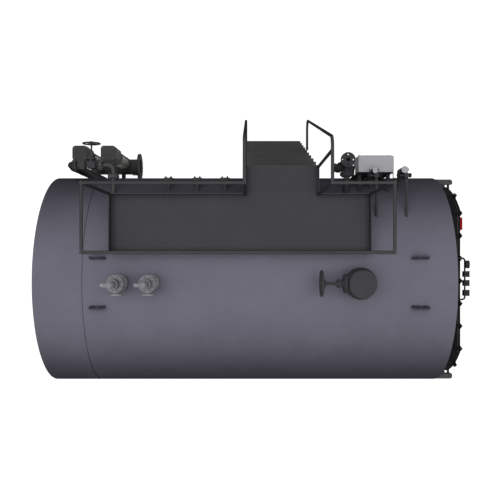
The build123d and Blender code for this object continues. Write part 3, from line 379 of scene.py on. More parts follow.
finishes = dict(
    # casing: painted shade darkens its flanks, and a long reach lets painted crevice shade darken the shell
    # under the deck
    casingPaint=coat((0.146, 0.143, 0.180), (0.20, 0.20, 0.22), 0.55, 0.2, 0.05, 0.30, specular=0.0, bare=0.55,
                     reach=0.15, runs=0.16, peel=0.10),
    bracketPaint=coat((0.075, 0.075, 0.080), (0.22, 0.21, 0.20), 0.5, 0.6, 0.12, 0.5),
    lugPaint=coat((0.072, 0.072, 0.094), (0.16, 0.15, 0.14), 0.5, 0.6, 0.15, 0.4),
    skidPaint=coat((0.040, 0.041, 0.045), (0.16, 0.15, 0.14), 0.52, 0.7, 0.16, 0.6, runs=0.2),
    deckPaint=coat((0.054, 0.053, 0.059), (0.17, 0.17, 0.17), 0.55, 0.5, 0.06, 0.4, chequer=0.030),
    treadPaint=coat((0.069, 0.069, 0.069), (0.13, 0.13, 0.13), 0.55, 0.4, 0.06, 0.1, chequer=0.030),
    railPaint=coat((0.055, 0.055, 0.058), (0.2, 0.19, 0.18), 0.45, 0.55, 0.1, 0.35, specular=0.0),
    pipePaint=coat((0.067, 0.067, 0.071), (0.2, 0.19, 0.18), 0.5, 0.5, 0.14, 0.5),
    valveIron=coat((0.047, 0.046, 0.050), (0.2, 0.19, 0.18), 0.52, 0.55, 0.16, 0.5, cast=1.0),
    wheelIron=coat((0.050, 0.050, 0.053), (0.24, 0.23, 0.22), 0.4, 0.8, 0.14, 0.3),
    safetyGrey=coat((0.231, 0.231, 0.248), (0.36, 0.36, 0.37), 0.45, 0.5, 0.08, 0.55, cast=0.8),
    smokeBlack=coat((0.010, 0.010, 0.011), (0.10, 0.095, 0.09), 0.6, 0.5, 0.3, 0.2, peel=0.3),
    pumpPaint=coat((0.059, 0.060, 0.061), (0.18, 0.18, 0.17), 0.45, 0.5, 0.12, 0.5, cast=0.5),
    pumpSteel=coat((0.215, 0.215, 0.185), (0.3, 0.3, 0.28), 0.45, 0.3, 0.1, 0.5, specular=0.2, metal=0.3),
    cabinetPaint=coat((0.377, 0.373, 0.397), (0.42, 0.42, 0.42), 0.42, 0.35, 0.05, 0.4, runs=0.1),
    gaugeSteel=coat((0.20, 0.20, 0.22), (0.4, 0.4, 0.4), 0.36, 0.4, 0.1, 0.45, specular=0.3, metal=0.5),
    brightSteel=coat((0.26, 0.26, 0.26), (0.45, 0.45, 0.45), 0.34, 0.4, 0.15, 0.5, specular=0.3, metal=0.75),
    boltZinc=coat((0.19, 0.19, 0.20), (0.4, 0.4, 0.4), 0.4, 0.5, 0.2, 0.5, specular=0.3, metal=0.6),
    darkBolt=coat((0.032, 0.032, 0.035), (0.2, 0.2, 0.2), 0.42, 0.6, 0.2, 0.4, metal=0.3),
    instrumentBlack=coat((0.030, 0.030, 0.032), (0.08, 0.08, 0.08), 0.42, 0.25, 0.1, 0.3),
    redPaint=coat((0.30, 0.008, 0.006), (0.45, 0.09, 0.07), 0.4, 0.35, 0.08, 0.3),
    furnaceSteel=coat((0.050, 0.042, 0.038), (0.15, 0.13, 0.12), 0.6, 0.4, 0.4, 0.4, cast=0.6),
    tubeSteel=coat((0.13, 0.11, 0.10), (0.3, 0.28, 0.26), 0.45, 0.5, 0.3, 0.5, metal=0.6),
    weldPaint=coat((0.105, 0.103, 0.130), (0.2, 0.2, 0.22), 0.5, 0.3, 0.12, 0.4),
    sealRope=coat((0.16, 0.15, 0.135), (0.2, 0.2, 0.18), 0.9, 0.1, 0.3, 0.5, peel=1.0),
    dialWhite=coat((0.72, 0.72, 0.70), (0.8, 0.8, 0.8), 0.4, 0.0, 0.03, 0.1),
    # painted shade: the cabinet arms are dark so that their lit tops sink into the shaded flank behind them
    armShadePaint=coat((0.032, 0.031, 0.036), (0.12, 0.12, 0.11), 0.6, 0.3, 0.1, 0.3),
    manifoldPaint=coat((0.062, 0.062, 0.061), (0.12, 0.12, 0.11), 0.6, 0.3, 0.1, 0.3),
    shadePaint=coat((0.022, 0.022, 0.022), (0.12, 0.12, 0.11), 0.55, 0.5, 0.14, 0.4),
    riserPaint=coat((0.027, 0.027, 0.028), (0.14, 0.14, 0.13), 0.55, 0.5, 0.14, 0.4),
    gaugeDark=coat((0.047, 0.047, 0.052), (0.2, 0.2, 0.2), 0.45, 0.5, 0.1, 0.4),
    lensRed=coat((0.35, 0.01, 0.008), (0.4, 0.05, 0.04), 0.16, 0.0, 0.02, 0.2, specular=0.3),
    lensAmber=coat((0.45, 0.17, 0.01), (0.5, 0.2, 0.05), 0.16, 0.0, 0.02, 0.2, specular=0.3),
    lensGreen=coat((0.01, 0.22, 0.05), (0.05, 0.3, 0.1), 0.16, 0.0, 0.02, 0.2, specular=0.3),
    dialBlack=coat((0.012, 0.012, 0.012), (0.05, 0.05, 0.05), 0.5, 0.0, 0.05, 0.1),
)

# shared by all finishes: drift of the shade, tone of painted shade and grime, where flank shade starts and is
# full, depths of relief
skinPlan = dict(swing=1.6, shadeAndGrimeShare=0.42, shadeAndGrimeFloor=0.004, flankShadeLow=0.52, flankShadeFull=1.0, smoother=0.07,
                rougher=0.08, grimeDull=0.25, peelDepth=0.0012, castDepth=0.0016, barDepth=0.0009)


def makeFinish(name, color, edge, rough, wear, drift, shadeAndDirt, runs=0.0, reach=0.06, bare=0.0, metal=0.0,
               specular=0.02, peel=0.12, cast=0.0, chequer=0.0):
    # shade drifts with the grain, painted shade darkens flanks and corners, dirt and rubbed edges lie over it,
    # and peel, grit or bars lift the surface
    material = bpy.data.materials.new(name)
    material.use_nodes = True
    graph = Graph(material.node_tree)
    grain = graph.use("grain")
    swing = drift * skinPlan["swing"]
    shades = [tuple(value * (1 + way * swing) for value in color) + (1.0,) for way in (-1, 1)]
    tone = graph.blend(graph.ramp(grain["Drift"], 0.3, 0.7), *shades)
    # painted shade: the flanks are multiplied down by the flank factor, upward faces keep their tone
    if bare:
        flankShadeMask = graph.use("flankShade", Low=skinPlan["flankShadeLow"], High=skinPlan["flankShadeFull"])["Mask"]
        tone = graph.blend(flankShadeMask, graph.blend(1.0, tone, (bare, bare, bare, 1.0), "MULTIPLY"), tone)
    # painted shade and grime: where little sky is seen, the tone goes towards a darker copy of the colour
    shadeAndGrimeMask = graph.use("shadeAndDirt", Reach=reach, Amount=shadeAndDirt, Runs=runs)["Mask"]
    shadeAndGrimeTone = tuple(value * skinPlan["shadeAndGrimeShare"] + skinPlan["shadeAndGrimeFloor"] for value in color)
    tone = graph.blend(shadeAndGrimeMask, tone, shadeAndGrimeTone + (1.0,))
    tone = graph.blend(graph.use("wear", Amount=wear)["Mask"], tone, edge + (1.0,))
    shine = graph.ramp(grain["Speck"], 0.3, 0.7, rough - skinPlan["smoother"], rough + skinPlan["rougher"])
    dull = graph.plus(shine, graph.times(shadeAndGrimeMask, skinPlan["grimeDull"]), True)
    height = graph.times(grain["Height"], peel * skinPlan["peelDepth"])
    if cast:
        height = graph.plus(height, graph.times(graph.use("cast")["Height"], cast * skinPlan["castDepth"]))
    if chequer:
        bars = graph.use("chequer", Pitch=chequer)["Height"]
        height = graph.plus(height, graph.times(bars, skinPlan["barDepth"]))
    bump = graph.node("Bump", Height=height, Strength=1.0, Distance=1.0).outputs[0]
    shader = graph.tree.nodes["Principled BSDF"]
    for label, value in (("Base Color", tone), ("Roughness", dull), ("Normal", bump), ("Metallic", metal),
                         ("Specular IOR Level", specular)):
        graph.feed(shader.inputs[label], value)
    return material


materials = {name: makeFinish(name, **plan) for name, plan in finishes.items()}

slotFinish = dict(
    casing="casingPaint", furnace_steel="furnaceSteel", smokebox_black="smokeBlack", red_paint="redPaint",
    bright_steel="brightSteel", bracket_grey="bracketPaint", instrument_dark="instrumentBlack",
    lug_paint="lugPaint", skid_paint="skidPaint", deck_paint="deckPaint", rail_paint="railPaint",
    pipe_paint="pipePaint", valve_iron="valveIron", wheel_iron="wheelIron", safety_grey="safetyGrey",
    pump_metal="pumpPaint", cabinet_grey="cabinetPaint", gauge_metal="gaugeSteel",
)

# nodes whose own finish differs from the rest of their slot
nodeFinish = dict(cabinet_arms="armShadePaint", level_gauge_rear="gaugeDark", level_gauge_front="gaugeDark",
                  suction_manifold="manifoldPaint", feed_riser="riserPaint", tube_nest="tubeSteel",
                  door_studs="smokeBlack")


def dressNodes():
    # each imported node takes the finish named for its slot, or its own
    for entry in frame["record"]["subparts"]:
        finish = nodeFinish.get(entry["node"], slotFinish[entry["material_slot"]])
        for place in nodes[entry["node"]].material_slots:
            place.material = materials[finish]


dressNodes()
print("finishes made:", len(materials))


# Places taken from the frame, in metres

shellLow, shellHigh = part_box("main_cladding")
shellR = (shellHigh.z - shellLow.z) / 2
axisZ = (shellHigh.z + shellLow.z) / 2
jointX = shellLow.x
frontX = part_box("front_end_plate")[1].x
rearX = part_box("rear_end_plate")[0].x
smokeR = -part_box("smokebox_wrapper")[0].y
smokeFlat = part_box("smokebox_wrapper")[1].z - axisZ
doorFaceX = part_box("red_box")[0].x
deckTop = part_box("platform_deck")[1].z


# Fasteners: a nut with its washer and stud end, set out in rings and rows

def hexNut(across, height, washer=True, stud=0.0):
    # six flats with the crown drawn in; below it a round washer, above it the end of the stud
    corner = across / math.sqrt(3)
    low = across * 0.14 if washer else 0.0
    top = low + height
    parts = [turned([(corner, low), (corner, low + height * 0.84), (corner * 0.84, top)], 6)]
    if washer:
        parts.append(turned([(across * 0.92, 0.0), (across * 0.92, low)], 12))
    if stud:
        shank = [(across * 0.3, low + height * 0.9), (across * 0.3, top + stud * 0.8),
                 (across * 0.24, top + stud)]
        parts.append(turned(shank, 8))
    return joined(parts)


def domeHead(radius, height):
    # quarter of an ellipse swung round its axis
    swing = np.linspace(0, np.pi / 2 * 0.86, 4)
    return turned(np.column_stack([radius * np.cos(swing), height * np.sin(swing)]), 10)


def ringSpots(centre, axis, radius, count, phase=0.0):
    # evenly spaced on a circle square to axis: centre plus radius times cosine and sine of the turn
    turn = math.radians(phase) + np.arange(count) * 2 * np.pi / count
    base = turnTo(axis)
    spread = np.cos(turn)[:, None] * base[:, 0] + np.sin(turn)[:, None] * base[:, 1]
    return np.asarray(centre, float) + radius * spread


def rowSpots(start, end, count):
    # evenly spaced on the line from start to end, both ends taken
    share = np.linspace(0, 1, count)[:, None]
    return np.asarray(start, float) * (1 - share) + np.asarray(end, float) * share


def fourAround(x, y):
    # the four corners round a middle
    return [(x, y), (x, -y), (-x, y), (-x, -y)]


def fixed(head, spots, axis, seed=1):
    # copies of one head on its spots, each turned a little differently about its own axis
    spots = np.asarray(spots, float).reshape(-1, 3)
    spin = np.random.default_rng(seed).uniform(0, np.pi / 3, len(spots))
    return repeated(head, np.array([turnTo(axis, turn) for turn in spin]), spots)


def nuts(size, spots, axis, seed=1):
    # nuts of one size on their spots
    return fixed(hexNut(*size), spots, axis, seed)


def boltedJoint(middle, axis, half, radius, count, across, phase=45.0):
    # nuts with stud ends on one side of a flange pair and heads on the other
    middle, axis = np.asarray(middle, float), np.asarray(axis, float)
    near, far = (ringSpots(middle + way * half * axis, axis, radius, count, phase) for way in bothSides)
    return joined([nuts((across, across * 0.8, True, across * 0.35), near, axis),
                   nuts((across, across * 0.62), far, -axis, 2)])


# middle, axis, half the pair's thickness, bolt circle, number of bolts, size across the flats
jointPlan = dict(
    steamBase=((0.967, 0, 2.472), up, 0.028, 0.098, 8, 0.018, 22.5),
    blindRear=((-0.785, 0.973, 1.972), north, 0.014, 0.035, 4, 0.013),
    blindMiddle=((-0.507, 0.973, 1.972), north, 0.014, 0.035, 4, 0.013),
    blindFront=((-0.242, 0.973, 1.972), north, 0.014, 0.035, 4, 0.013),
    feedNozzle=((-1.304, 0.995, 2.035), north, 0.014, 0.041, 4, 0.014),
    feedStop=((-1.425, 1.105, 2.035), east, 0.014, 0.041, 4, 0.014),
    feedCheck=((-1.671, 1.105, 2.035), east, 0.014, 0.044, 4, 0.012),
    pumpRearOut=((-1.824, 1.232, 0.304), south, 0.014, 0.037, 4, 0.013),
    pumpFrontOut=((-1.520, 1.232, 0.304), south, 0.014, 0.037, 4, 0.013),
    angleBase=((0.924, 1.019, 2.014), north, 0.016, 0.049, 4, 0.015),
)
flangeBolts = joined([boltedJoint(*plan) for plan in jointPlan.values()])
makePiece("flange_bolts", flangeBolts, "darkBolt")

steamPlan = dict(x=0.967, z=2.613, bonnetX=0.818, bonnetR=0.069, glandX=0.764, top=2.754, discR=0.119)


def steamTrim(z, bonnetX, bonnetR, glandX, **others):
    # bonnet nuts, gland cap with its two studs and the packing ring round the spindle
    bonnet = nuts((0.012, 0.006, False, 0.0015), ringSpots((bonnetX, 0, z), west, bonnetR, 8, 22.5), west)
    capSide = [(0.036, 0.0), (0.036, 0.003), (0.024, 0.006), (0.021, 0.014), (0.015, 0.014), (0.015, 0.0)]
    cap = turnedAt(capSide, 32, (glandX, 0, z), west)
    ends = [(glandX - 0.002, 0, z + rise) for rise in (0.029, -0.029)]
    studs = nuts((0.010, 0.008, True, 0.004), ends, west, 3)
    collar = turnedAt([(0.030, 0.0), (0.032, 0.002), (0.032, 0.012), (0.030, 0.014)], 6, (0.646, 0, z), east)
    return joined([bonnet, cap, studs]), collar


def steamCover(x, top, discR, **others):
    # thin blank on the outlet flange, its rim rolled over
    profile = [(discR - 0.002, 0.0), (discR, 0.001), (discR, 0.004), (discR - 0.0015, 0.0055),
               (0.060, 0.0058)]
    return turnedAt(profile, 96, (x, 0, top))


steamNuts, wheelCollar = steamTrim(**steamPlan)
makePiece("steam_valve_trim", steamNuts, "darkBolt")
makePiece("steam_wheel_collar", wheelCollar, "wheelIron", "steam_wheel")
makePiece("steam_outlet_cover", steamCover(**steamPlan), "valveIron")
print("flange bolts and steam valve trim made")


# Handwheels: cast rim with finger waves, tapered spokes, hub, locking nut and threaded spindle

wheelPlans = dict(
    steam_wheel=dict(node="steam_handwheel", middle=(0.625, 0, 2.613), axis=east, wheelR=0.117, rim=0.013,
                     hub=0.026, hubL=0.036, spoke=0.009, stem=0.013, stemFrom=-0.019, stemTo=0.206, waves=30,
                     nut=False),
    feed_wheel=dict(node="feed_handwheel", middle=(-1.514, 1.310, 2.035), axis=north, wheelR=0.088, rim=0.008,
                    hub=0.016, hubL=0.022, spoke=0.0048, stem=0.009, stemFrom=-0.156, stemTo=0.022, waves=24,
                    nut=True),
)


def handWheel(middle, axis, wheelR, rim, hub, hubL, spoke, stem, stemFrom, stemTo, waves, nut, **others):
    # rim: a tube round a circle, its thickness a cosine wave; arms: tapered tubes with a slow sine bend;
    # spindle: a swung profile that steps in at every other point, as a thread does
    ringR, half = wheelR - rim, hubL / 2
    x, y = circle(ringR, waves * 6)
    turn = np.linspace(0, 2 * np.pi, waves * 6, endpoint=False)
    thick = rim * (0.94 + 0.06 * np.cos(waves * turn))
    ring = tube(np.column_stack([x, y, 0 * turn]), thick, 14, closed=True)
    share = np.linspace(0, 1, 12)
    reach = hub * 0.6 + (ringR - hub * 0.6) * share
    path = np.column_stack([reach, 0.10 * hub * np.sin(share * 2 * np.pi), 0 * share])
    arm = tube(path, spoke * (1.25 - 0.5 * np.sin(share * np.pi) - 0.1 * share), 10)
    armTurns = [turnTo(up, (number + 0.5) * 2 * np.pi / 5) for number in range(5)]
    arms = repeated(arm, armTurns, np.zeros((5, 3)))
    boss = turned([(hub * wide, half * rise) for wide, rise in
                   ((0.8, -1), (1, -0.6), (1.1, 0), (1, 0.6), (0.8, 1))], 28)
    pitch = stem * 0.22
    number = np.arange(int((stemTo - stemFrom) / pitch) + 1)
    thread = turned(np.column_stack([stem * (1 - 0.09 * (number % 2)), stemFrom + pitch * number]), 20)
    shapes = [ring, arms, boss, thread]
    if nut:
        shapes.append(nuts((stem * 2.5, stem * 0.9), [(0, 0, half)], up))
    return placed(joined(shapes), middle, axis)


for wheelName, wheelPlan in wheelPlans.items():
    wheel = handWheel(**wheelPlan)
    wheelPiece = makePiece(wheelName + "_cast", wheel, "wheelIron", wheelName, 50)
    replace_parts(wheelPiece, wheelPlan["node"])
print("handwheels made")


# Welds: a rippled bead along each line where plates and pipes meet

weldPlan = dict(
    top=[(0.967, 0.077), (-1.165, 0.040), (-0.885, 0.040)],
    side=[(-0.785, 0.582, 0.017), (-0.507, 0.582, 0.017), (-0.242, 0.582, 0.017), (-1.304, 0.645, 0.019),
          (0.924, 0.624, 0.031)],
    flueZ=1.84, flueR=0.2135, lugAngle=11.9, lugHalf=0.0075, lugs=[(-1.439, -1.304), (1.457, 1.604)],
)


def weldBead(path, size, closed=False, over=up):
    # a tube along the path whose radius ripples as a sine
    ripple = 1 + 0.16 * np.sin(np.arange(len(path)) * 2.4)
    return tube(path, size * ripple, 7, over, closed)


def shellWelds(top, side, flueZ, flueR, lugAngle, lugHalf, lugs):
    # a path on the shell: height is the root of the shell's radius squared less the offset squared
    beads = []
    for x, radius in top:
        # circle seen from above, dropped on the shell
        dx, y = circle(radius, 96)
        beads.append(weldBead(np.column_stack([x + dx, y, axisZ + np.sqrt(shellR**2 - y**2)]), 0.005, True))
    for x, rise, radius in side:
        # circle seen from the north, pressed on the shell
        dx, dz = circle(radius, 64)
        path = np.column_stack([x + dx, np.sqrt(shellR**2 - (rise + dz) ** 2), axisZ + rise + dz])
        beads.append(weldBead(path, 0.004, True, north))
    y, dz = circle(flueR, 160)
    beads.append(weldBead(np.column_stack([np.full(160, rearX), y, flueZ + dz]), 0.005, True, east))
    for x0, x1 in lugs:
        for way in bothSides:
            lean = math.radians(way * lugAngle)
            for edge in bothSides:
                y = shellR * math.sin(lean) + edge * lugHalf * math.cos(lean)
                z = axisZ + math.sqrt(shellR**2 - y**2) + 0.0005
                beads.append(weldBead(rowSpots((x0, y, z), (x1, y, z), 40), 0.0024))
    return joined(beads)


makePiece("shell_welds", shellWelds(**weldPlan), "weldPaint", smooth=70)

railPlan = dict(x=(-1.238, 1.062), y=(0.275, 0.787), stair=(-0.041, 0.605), r=0.013, landingY=1.029)


def postWelds(x, y, stair, r, landingY):
    # small beads at the foot of each post
    spots = [(at, to) for at in x for to in y] + [(at, to) for to in (y[1], landingY) for at in stair]
    dx, dy = circle(r, 20)
    foot = weldBead(np.column_stack([dx, dy, 0 * dx]), 0.0028, True)
    return repeated(foot, [np.eye(3)] * len(spots), [(at, to, deckTop + 0.001) for at, to in spots])


makePiece("post_welds", postWelds(**railPlan), "railPaint", smooth=70)
print("welds made")


# Casing: rivets beside the joint ring, at both rims and along the lap low on the south side

casingPlan = dict(rivetR=0.0045, rivetH=0.0022, around=60, phase=3.0, lapAngle=-118.0, lapCount=34,
                  stripT=0.0016, stripHalf=0.030,
                  rows=(jointX - 0.030, jointX + 0.030, frontX - 0.045, rearX + 0.045))


def onShell(x, turn, radius=shellR):
    # on the shell's round at an angle from its top: radius times sine across, times cosine up
    along = np.broadcast_to(x, np.shape(turn))
    return np.column_stack([along, radius * np.sin(turn), axisZ + radius * np.cos(turn)])


def casingRivets(rivetR, rivetH, around, phase, lapAngle, lapCount, rows, **others):
    # a ring of heads round the shell at each x, and a row along the lap
    turn = np.radians(phase) + np.arange(around) * 2 * np.pi / around
    lap = np.full(lapCount, math.radians(lapAngle))
    places = [onShell(x, turn) for x in rows]
    places.append(onShell(np.linspace(jointX + 0.10, frontX - 0.12, lapCount), lap))
    angles = np.concatenate([turn] * len(rows) + [lap])
    turns = [turnTo((0, math.sin(angle), math.cos(angle))) for angle in angles]
    return repeated(domeHead(rivetR, rivetH), turns, np.concatenate(places))


def casingLap(lapAngle, stripT, stripHalf, **others):
    # cover strip over the lengthwise lap, bent to the shell
    swing = math.radians(lapAngle) + np.linspace(-stripHalf, stripHalf, 7)
    return loft([np.vstack([onShell(x, swing, shellR + stripT), onShell(x, swing[::-1], shellR - 0.001)])
                 for x in (jointX + 0.06, frontX - 0.08)])


makePiece("casing_rivets", casingRivets(**casingPlan), "casingPaint")
makePiece("casing_lap_strip", casingLap(**casingPlan), "casingPaint")
print("casing trim made")


# Smoke box: captive nuts on the ears, strap bolts, pull handles, hinge webs, seal rope and tube ends

smokePlan = dict(rows=3, studOut=0.022, sideAngles=(57.7, 122.3, 155.0), edge=0.034, tubeR=0.034, pitch=0.118,
                 nestEdge=0.040, wrapper=0.012, nestLow=0.130, nestX=1.887, nestT=0.012, hingeZ=0.235,
                 strapYs=(0.545, 0.660, 0.775, 0.890), pullY=0.075, pullZ=0.26)


def studSpots(plan):
    # evenly spaced along the flat top, then in pairs at the given angles from the top
    spacing = (math.sqrt(smokeR**2 - smokeFlat**2) - plan["edge"]) / plan["rows"]
    rows, out = plan["rows"], plan["studOut"]
    spots = [(number * spacing, smokeFlat + out) for number in range(-rows, rows + 1)]
    radius = smokeR + out
    for angle in map(math.radians, plan["sideAngles"]):
        spots += [(side * radius * math.sin(angle), radius * math.cos(angle)) for side in bothSides]
    return spots


def earNuts(side, plan):
    # a plate washer over the ear's slot and a deep nut; the middle one stays with the north leaf
    spots = [(doorFaceX + 0.0005, y, axisZ + z) for y, z in studSpots(plan)
             if y * side > 0 or (y == 0 and side > 0)]
    washer = turned([(0.0155, 0.0), (0.0155, 0.0020), (0.0145, 0.0024)], 20)
    nut = turned([(0.0125, 0.0024), (0.0125, 0.0070), (0.0100, 0.0085), (0.0060, 0.0120),
                  (0.0030, 0.0145)], 6)
    return fixed(joined([washer, nut]), spots, east)


def hingeWebs(plan):
    # a web beside each hinge bracket, tying it to the smoke box
    outline = np.array([(1.872, 0.926), (1.964, 0.926), (1.974, 0.934), (1.974, 0.956), (1.872, 0.956)])
    return joined([placed(slab(outline[::side] * (1, side), 0.012), (0, 0, axisZ + rise - 0.006))
                   for side in bothSides for rise in (plan["hingeZ"], -plan["hingeZ"])])


def strapBolts(side, plan):
    # a row of nuts along the upper and the lower strap
    spots = [(doorFaceX + 0.015, side * y, axisZ + rise) for y in plan["strapYs"]
             for rise in (plan["hingeZ"], -plan["hingeZ"])]
    return nuts((0.017, 0.010), spots, east, 6)


def pullHandle(side, plan):
    # a round bar bent twice, standing off the leaf near the parting
    y, z = side * plan["pullY"], axisZ + plan["pullZ"]
    bend, out, high = 0.012, 0.030, 0.105
    legs = [(-0.004, high)] + [(out - bend + bend * math.sin(a), high - bend + bend * math.cos(a))
                               for a in np.linspace(0, np.pi / 2, 6)]
    path = [(doorFaceX + x, y, z + rise) for x, rise in legs + [(x, -rise) for x, rise in legs[::-1]]]
    feet = [turnedAt([(0.016, 0.0), (0.016, 0.004), (0.012, 0.006)], 20, (doorFaceX, y, z + end * high), east)
            for end in bothSides]
    return joined([tube(path, 0.007, 12, north)] + feet)


def sealRope(plan):
    # round below and at the sides, straight across the flat top
    radius, flat = smokeR - plan["wrapper"] / 2, smokeFlat - plan["wrapper"] / 2
    start = math.acos(flat / radius)
    turn = np.linspace(start, 2 * np.pi - start, 120)
    arc = np.column_stack([radius * np.sin(turn), radius * np.cos(turn)])
    outline = np.vstack([arc, rowSpots(arc[-1], arc[0], 40)[1:-1]])
    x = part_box("smokebox_wrapper")[1].x + 0.0024
    path = np.column_stack([np.full(len(outline), x), outline[:, 0], axisZ + outline[:, 1]])
    return tube(path, 0.0022 * (1 + 0.08 * np.sin(np.arange(len(path)) * 1.9)), 8, east, True)


def tubeSpots(plan):
    # rows a little closer than the pitch, every other row shifted by half of it
    inset = plan["wrapper"] + plan["nestEdge"] + plan["tubeR"] + plan["nestEdge"] / 2
    pitch = plan["pitch"]
    levels = np.arange(plan["nestLow"] + plan["tubeR"] + plan["nestEdge"] / 2, smokeFlat - inset,
                       pitch * math.sqrt(3) / 2)
    spots = []
    for row, z in enumerate(levels):
        shift = (row % 2) * pitch / 2
        ys = shift + pitch * np.arange(int((math.sqrt((smokeR - inset) ** 2 - z**2) - shift) / pitch) + 1)
        spots += [(plan["nestX"], y, axisZ + z) for y in np.concatenate([ys, -ys[ys > 1e-6]])]
    return spots


def tubeEnds(plan):
    # a short length of tube, its mouth belled by the expander
    outer, wall, face = plan["tubeR"] - 0.0005, 0.0035, plan["nestT"]
    profile = [(outer, 0.002), (outer, face + 0.003), (outer + 0.0010, face + 0.006),
               (outer - wall, face + 0.006), (outer - wall, 0.002)]
    return fixed(closedLoft(swung(profile, 24)), tubeSpots(plan), east)


doorTrim = (("ear_nuts_", earNuts, "darkBolt", "bright_steel", 40),
            ("strap_bolts_", strapBolts, "darkBolt", "smokebox_black", 40),
            ("pull_handle_", pullHandle, "bracketPaint", "bracket_grey", 60))
for doorSide, doorName in ((1, "north"), (-1, "south")):
    for trimName, build, finish, slot, smooth in doorTrim:
        trimShape = build(doorSide, smokePlan)
        makePiece(trimName + doorName, trimShape, finish, "door_" + doorName + "_leaf", smooth)
makePiece("hinge_webs", hingeWebs(smokePlan), "bracketPaint")
makePiece("door_seal_rope", sealRope(smokePlan), "sealRope", smooth=70)
makePiece("tube_ends", tubeEnds(smokePlan), "tubeSteel")
print("smoke box trim made")


# Safety valves: nuts on both flanges, cap screw, ribs, lever fork and outlet necks

safetyPlan = dict(
    xs=(-1.165, -0.885), top=2.43,
    # nut, level, circle, number, phase, seed
    rings=(((0.015, 0.012, True, 0.006), 0.062, 0.060, 4, 45, 1),
           ((0.013, 0.010, True, 0.006), 0.272, 0.063, 8, 22.5, 2),
           ((0.020, 0.006, False), 0.523, 0.0, 1, 0, 3), ((0.010, 0.006, False), 0.44, 0.031, 3, 0, 4)),
    neck=((0.026, 0.066), (0.029, 0.070), (0.0355, 0.088), (0.0365, 0.0925)), neckRise=0.185,
    rib=(0.026, 0.008, 0.055), ribR=0.060, ribRise=0.215,
    cheek=(0.030, 0.005, 0.036), cheekAt=(-0.034, 0.0155, 0.488),
)


def safetyNuts(xs, top, rings, **others):
    # rings of nuts at their levels above each valve's foot
    return joined([nuts(size, ringSpots((x, 0, top + level), up, radius, count, phase), up, seed)
                   for x in xs for size, level, radius, count, phase, seed in rings])


def safetyRibs(xs, top, rib, ribR, ribRise, cheek, cheekAt, **others):
    # four cast ribs under the wide flange and a fork that carries the lever
    shapes = []
    for x in xs:
        for turn in np.radians([45, 135, 225, 315]):
            spot = (x + ribR * math.cos(turn), ribR * math.sin(turn), top + ribRise)
            shapes.append(placed(softBlock(rib, 0.002, 0.0015, 2), spot, up, turn))
        for side in bothSides:
            spot = (x + cheekAt[0], side * cheekAt[1], top + cheekAt[2])
            shapes.append(placed(softBlock(cheek, 0.004, 0.001, 2), spot))
    return joined(shapes)


def outletNecks(xs, top, neck, neckRise, **others):
    # the outlet neck widens towards its flange
    return joined([turnedAt(neck, 40, (x, 0, top + neckRise), south) for x in xs])


safetyTrim = (("valve_nuts", safetyNuts), ("valve_ribs", safetyRibs), ("outlet_cones", outletNecks))
for trimName, build in safetyTrim:
    makePiece("safety_" + trimName, build(**safetyPlan), "safetyGrey")
print("safety valve trim made")


# Feed pumps: steel sleeve with stage rings, fan cover, terminal box and feet bolts

pumpPlan = dict(xs=(-1.824, -1.520), y=1.332, sleeveR=0.0685, low=0.334, high=0.848, stages=12,
                motorTop=1.234, motorHalf=0.0805, boxZ=1.000, box=(0.085, 0.018, 0.105), footZ=0.874)


def pumpSleeve(xs, y, sleeveR, low, high, stages, **others):
    # a profile with one raised band to each stage, swung round the pump's axis
    step = (high - low) / stages
    profile = [(sleeveR + proud, low + number * step + rise) for number in range(stages)
               for proud, rise in ((0.0016, 0.0), (0.0016, 0.005), (0.0, 0.0065), (0.0, step - 0.0015))]
    return joined([turnedAt(profile, 48, (x, y, 0)) for x in xs])


def pumpTrim(xs, y, motorTop, motorHalf, boxZ, box, **others):
    # terminal box with its gland, and the ring on the fan cover
    gland = [(0.008, 0.0), (0.008, 0.010), (0.006, 0.012), (0.006, 0.022), (0.005, 0.024)]
    shapes = []
    for x in xs:
        shapes += [placed(softBlock(box, 0.008, 0.004), (x, y + motorHalf + 0.008, boxZ)),
                   turnedAt(gland, 16, (x, y + motorHalf + 0.009, boxZ - 0.051), down),
                   turnedAt([(0.060, 0.0), (0.060, 0.0012), (0.052, 0.0022)], 40, (x, y, motorTop - 0.0004))]
    return joined(shapes)


def pumpBolts(xs, y, motorTop, motorHalf, boxZ, footZ, **others):
    # nuts in a ring on the foot, screws at the corners of box lid and fan cover
    shapes = []
    for x in xs:
        lid = [(x + dx, y + motorHalf + 0.017, boxZ + dz) for dx, dz in fourAround(0.034, 0.042)]
        cover = [(x + dx, y + dy, motorTop) for dx, dy in fourAround(0.056, 0.056)]
        shapes += [nuts((0.012, 0.009, True, 0.004), ringSpots((x, y, footZ), up, 0.077, 4, 45), up),
                   fixed(domeHead(0.003, 0.0015), lid, north), fixed(domeHead(0.0045, 0.0022), cover, up)]
    return joined(shapes)


makePiece("pump_sleeves", pumpSleeve(**pumpPlan), "pumpSteel")
makePiece("pump_motor_trim", pumpTrim(**pumpPlan), "pumpPaint")
makePiece("pump_bolts", pumpBolts(**pumpPlan), "boltZinc")
print("pump trim made")


# Rear end: nuts round the access door

accessPlan = dict(proud=0.014, radius=0.226, count=16, phase=11.25, nut=(0.022, 0.016, True, 0.006))


def accessNuts(proud, radius, count, phase, nut):
    # a ring of nuts round the door, facing rearwards
    low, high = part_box("rear_access_door")
    return nuts(nut, ringSpots((low.x + proud, 0, (low.z + high.z) / 2), west, radius, count, phase), west)


makePiece("access_door_nuts", accessNuts(**accessPlan), "boltZinc")


# Skid, saddles, stair and cradles: pressed treads, cut stringers, holding-down nuts and tread bolts

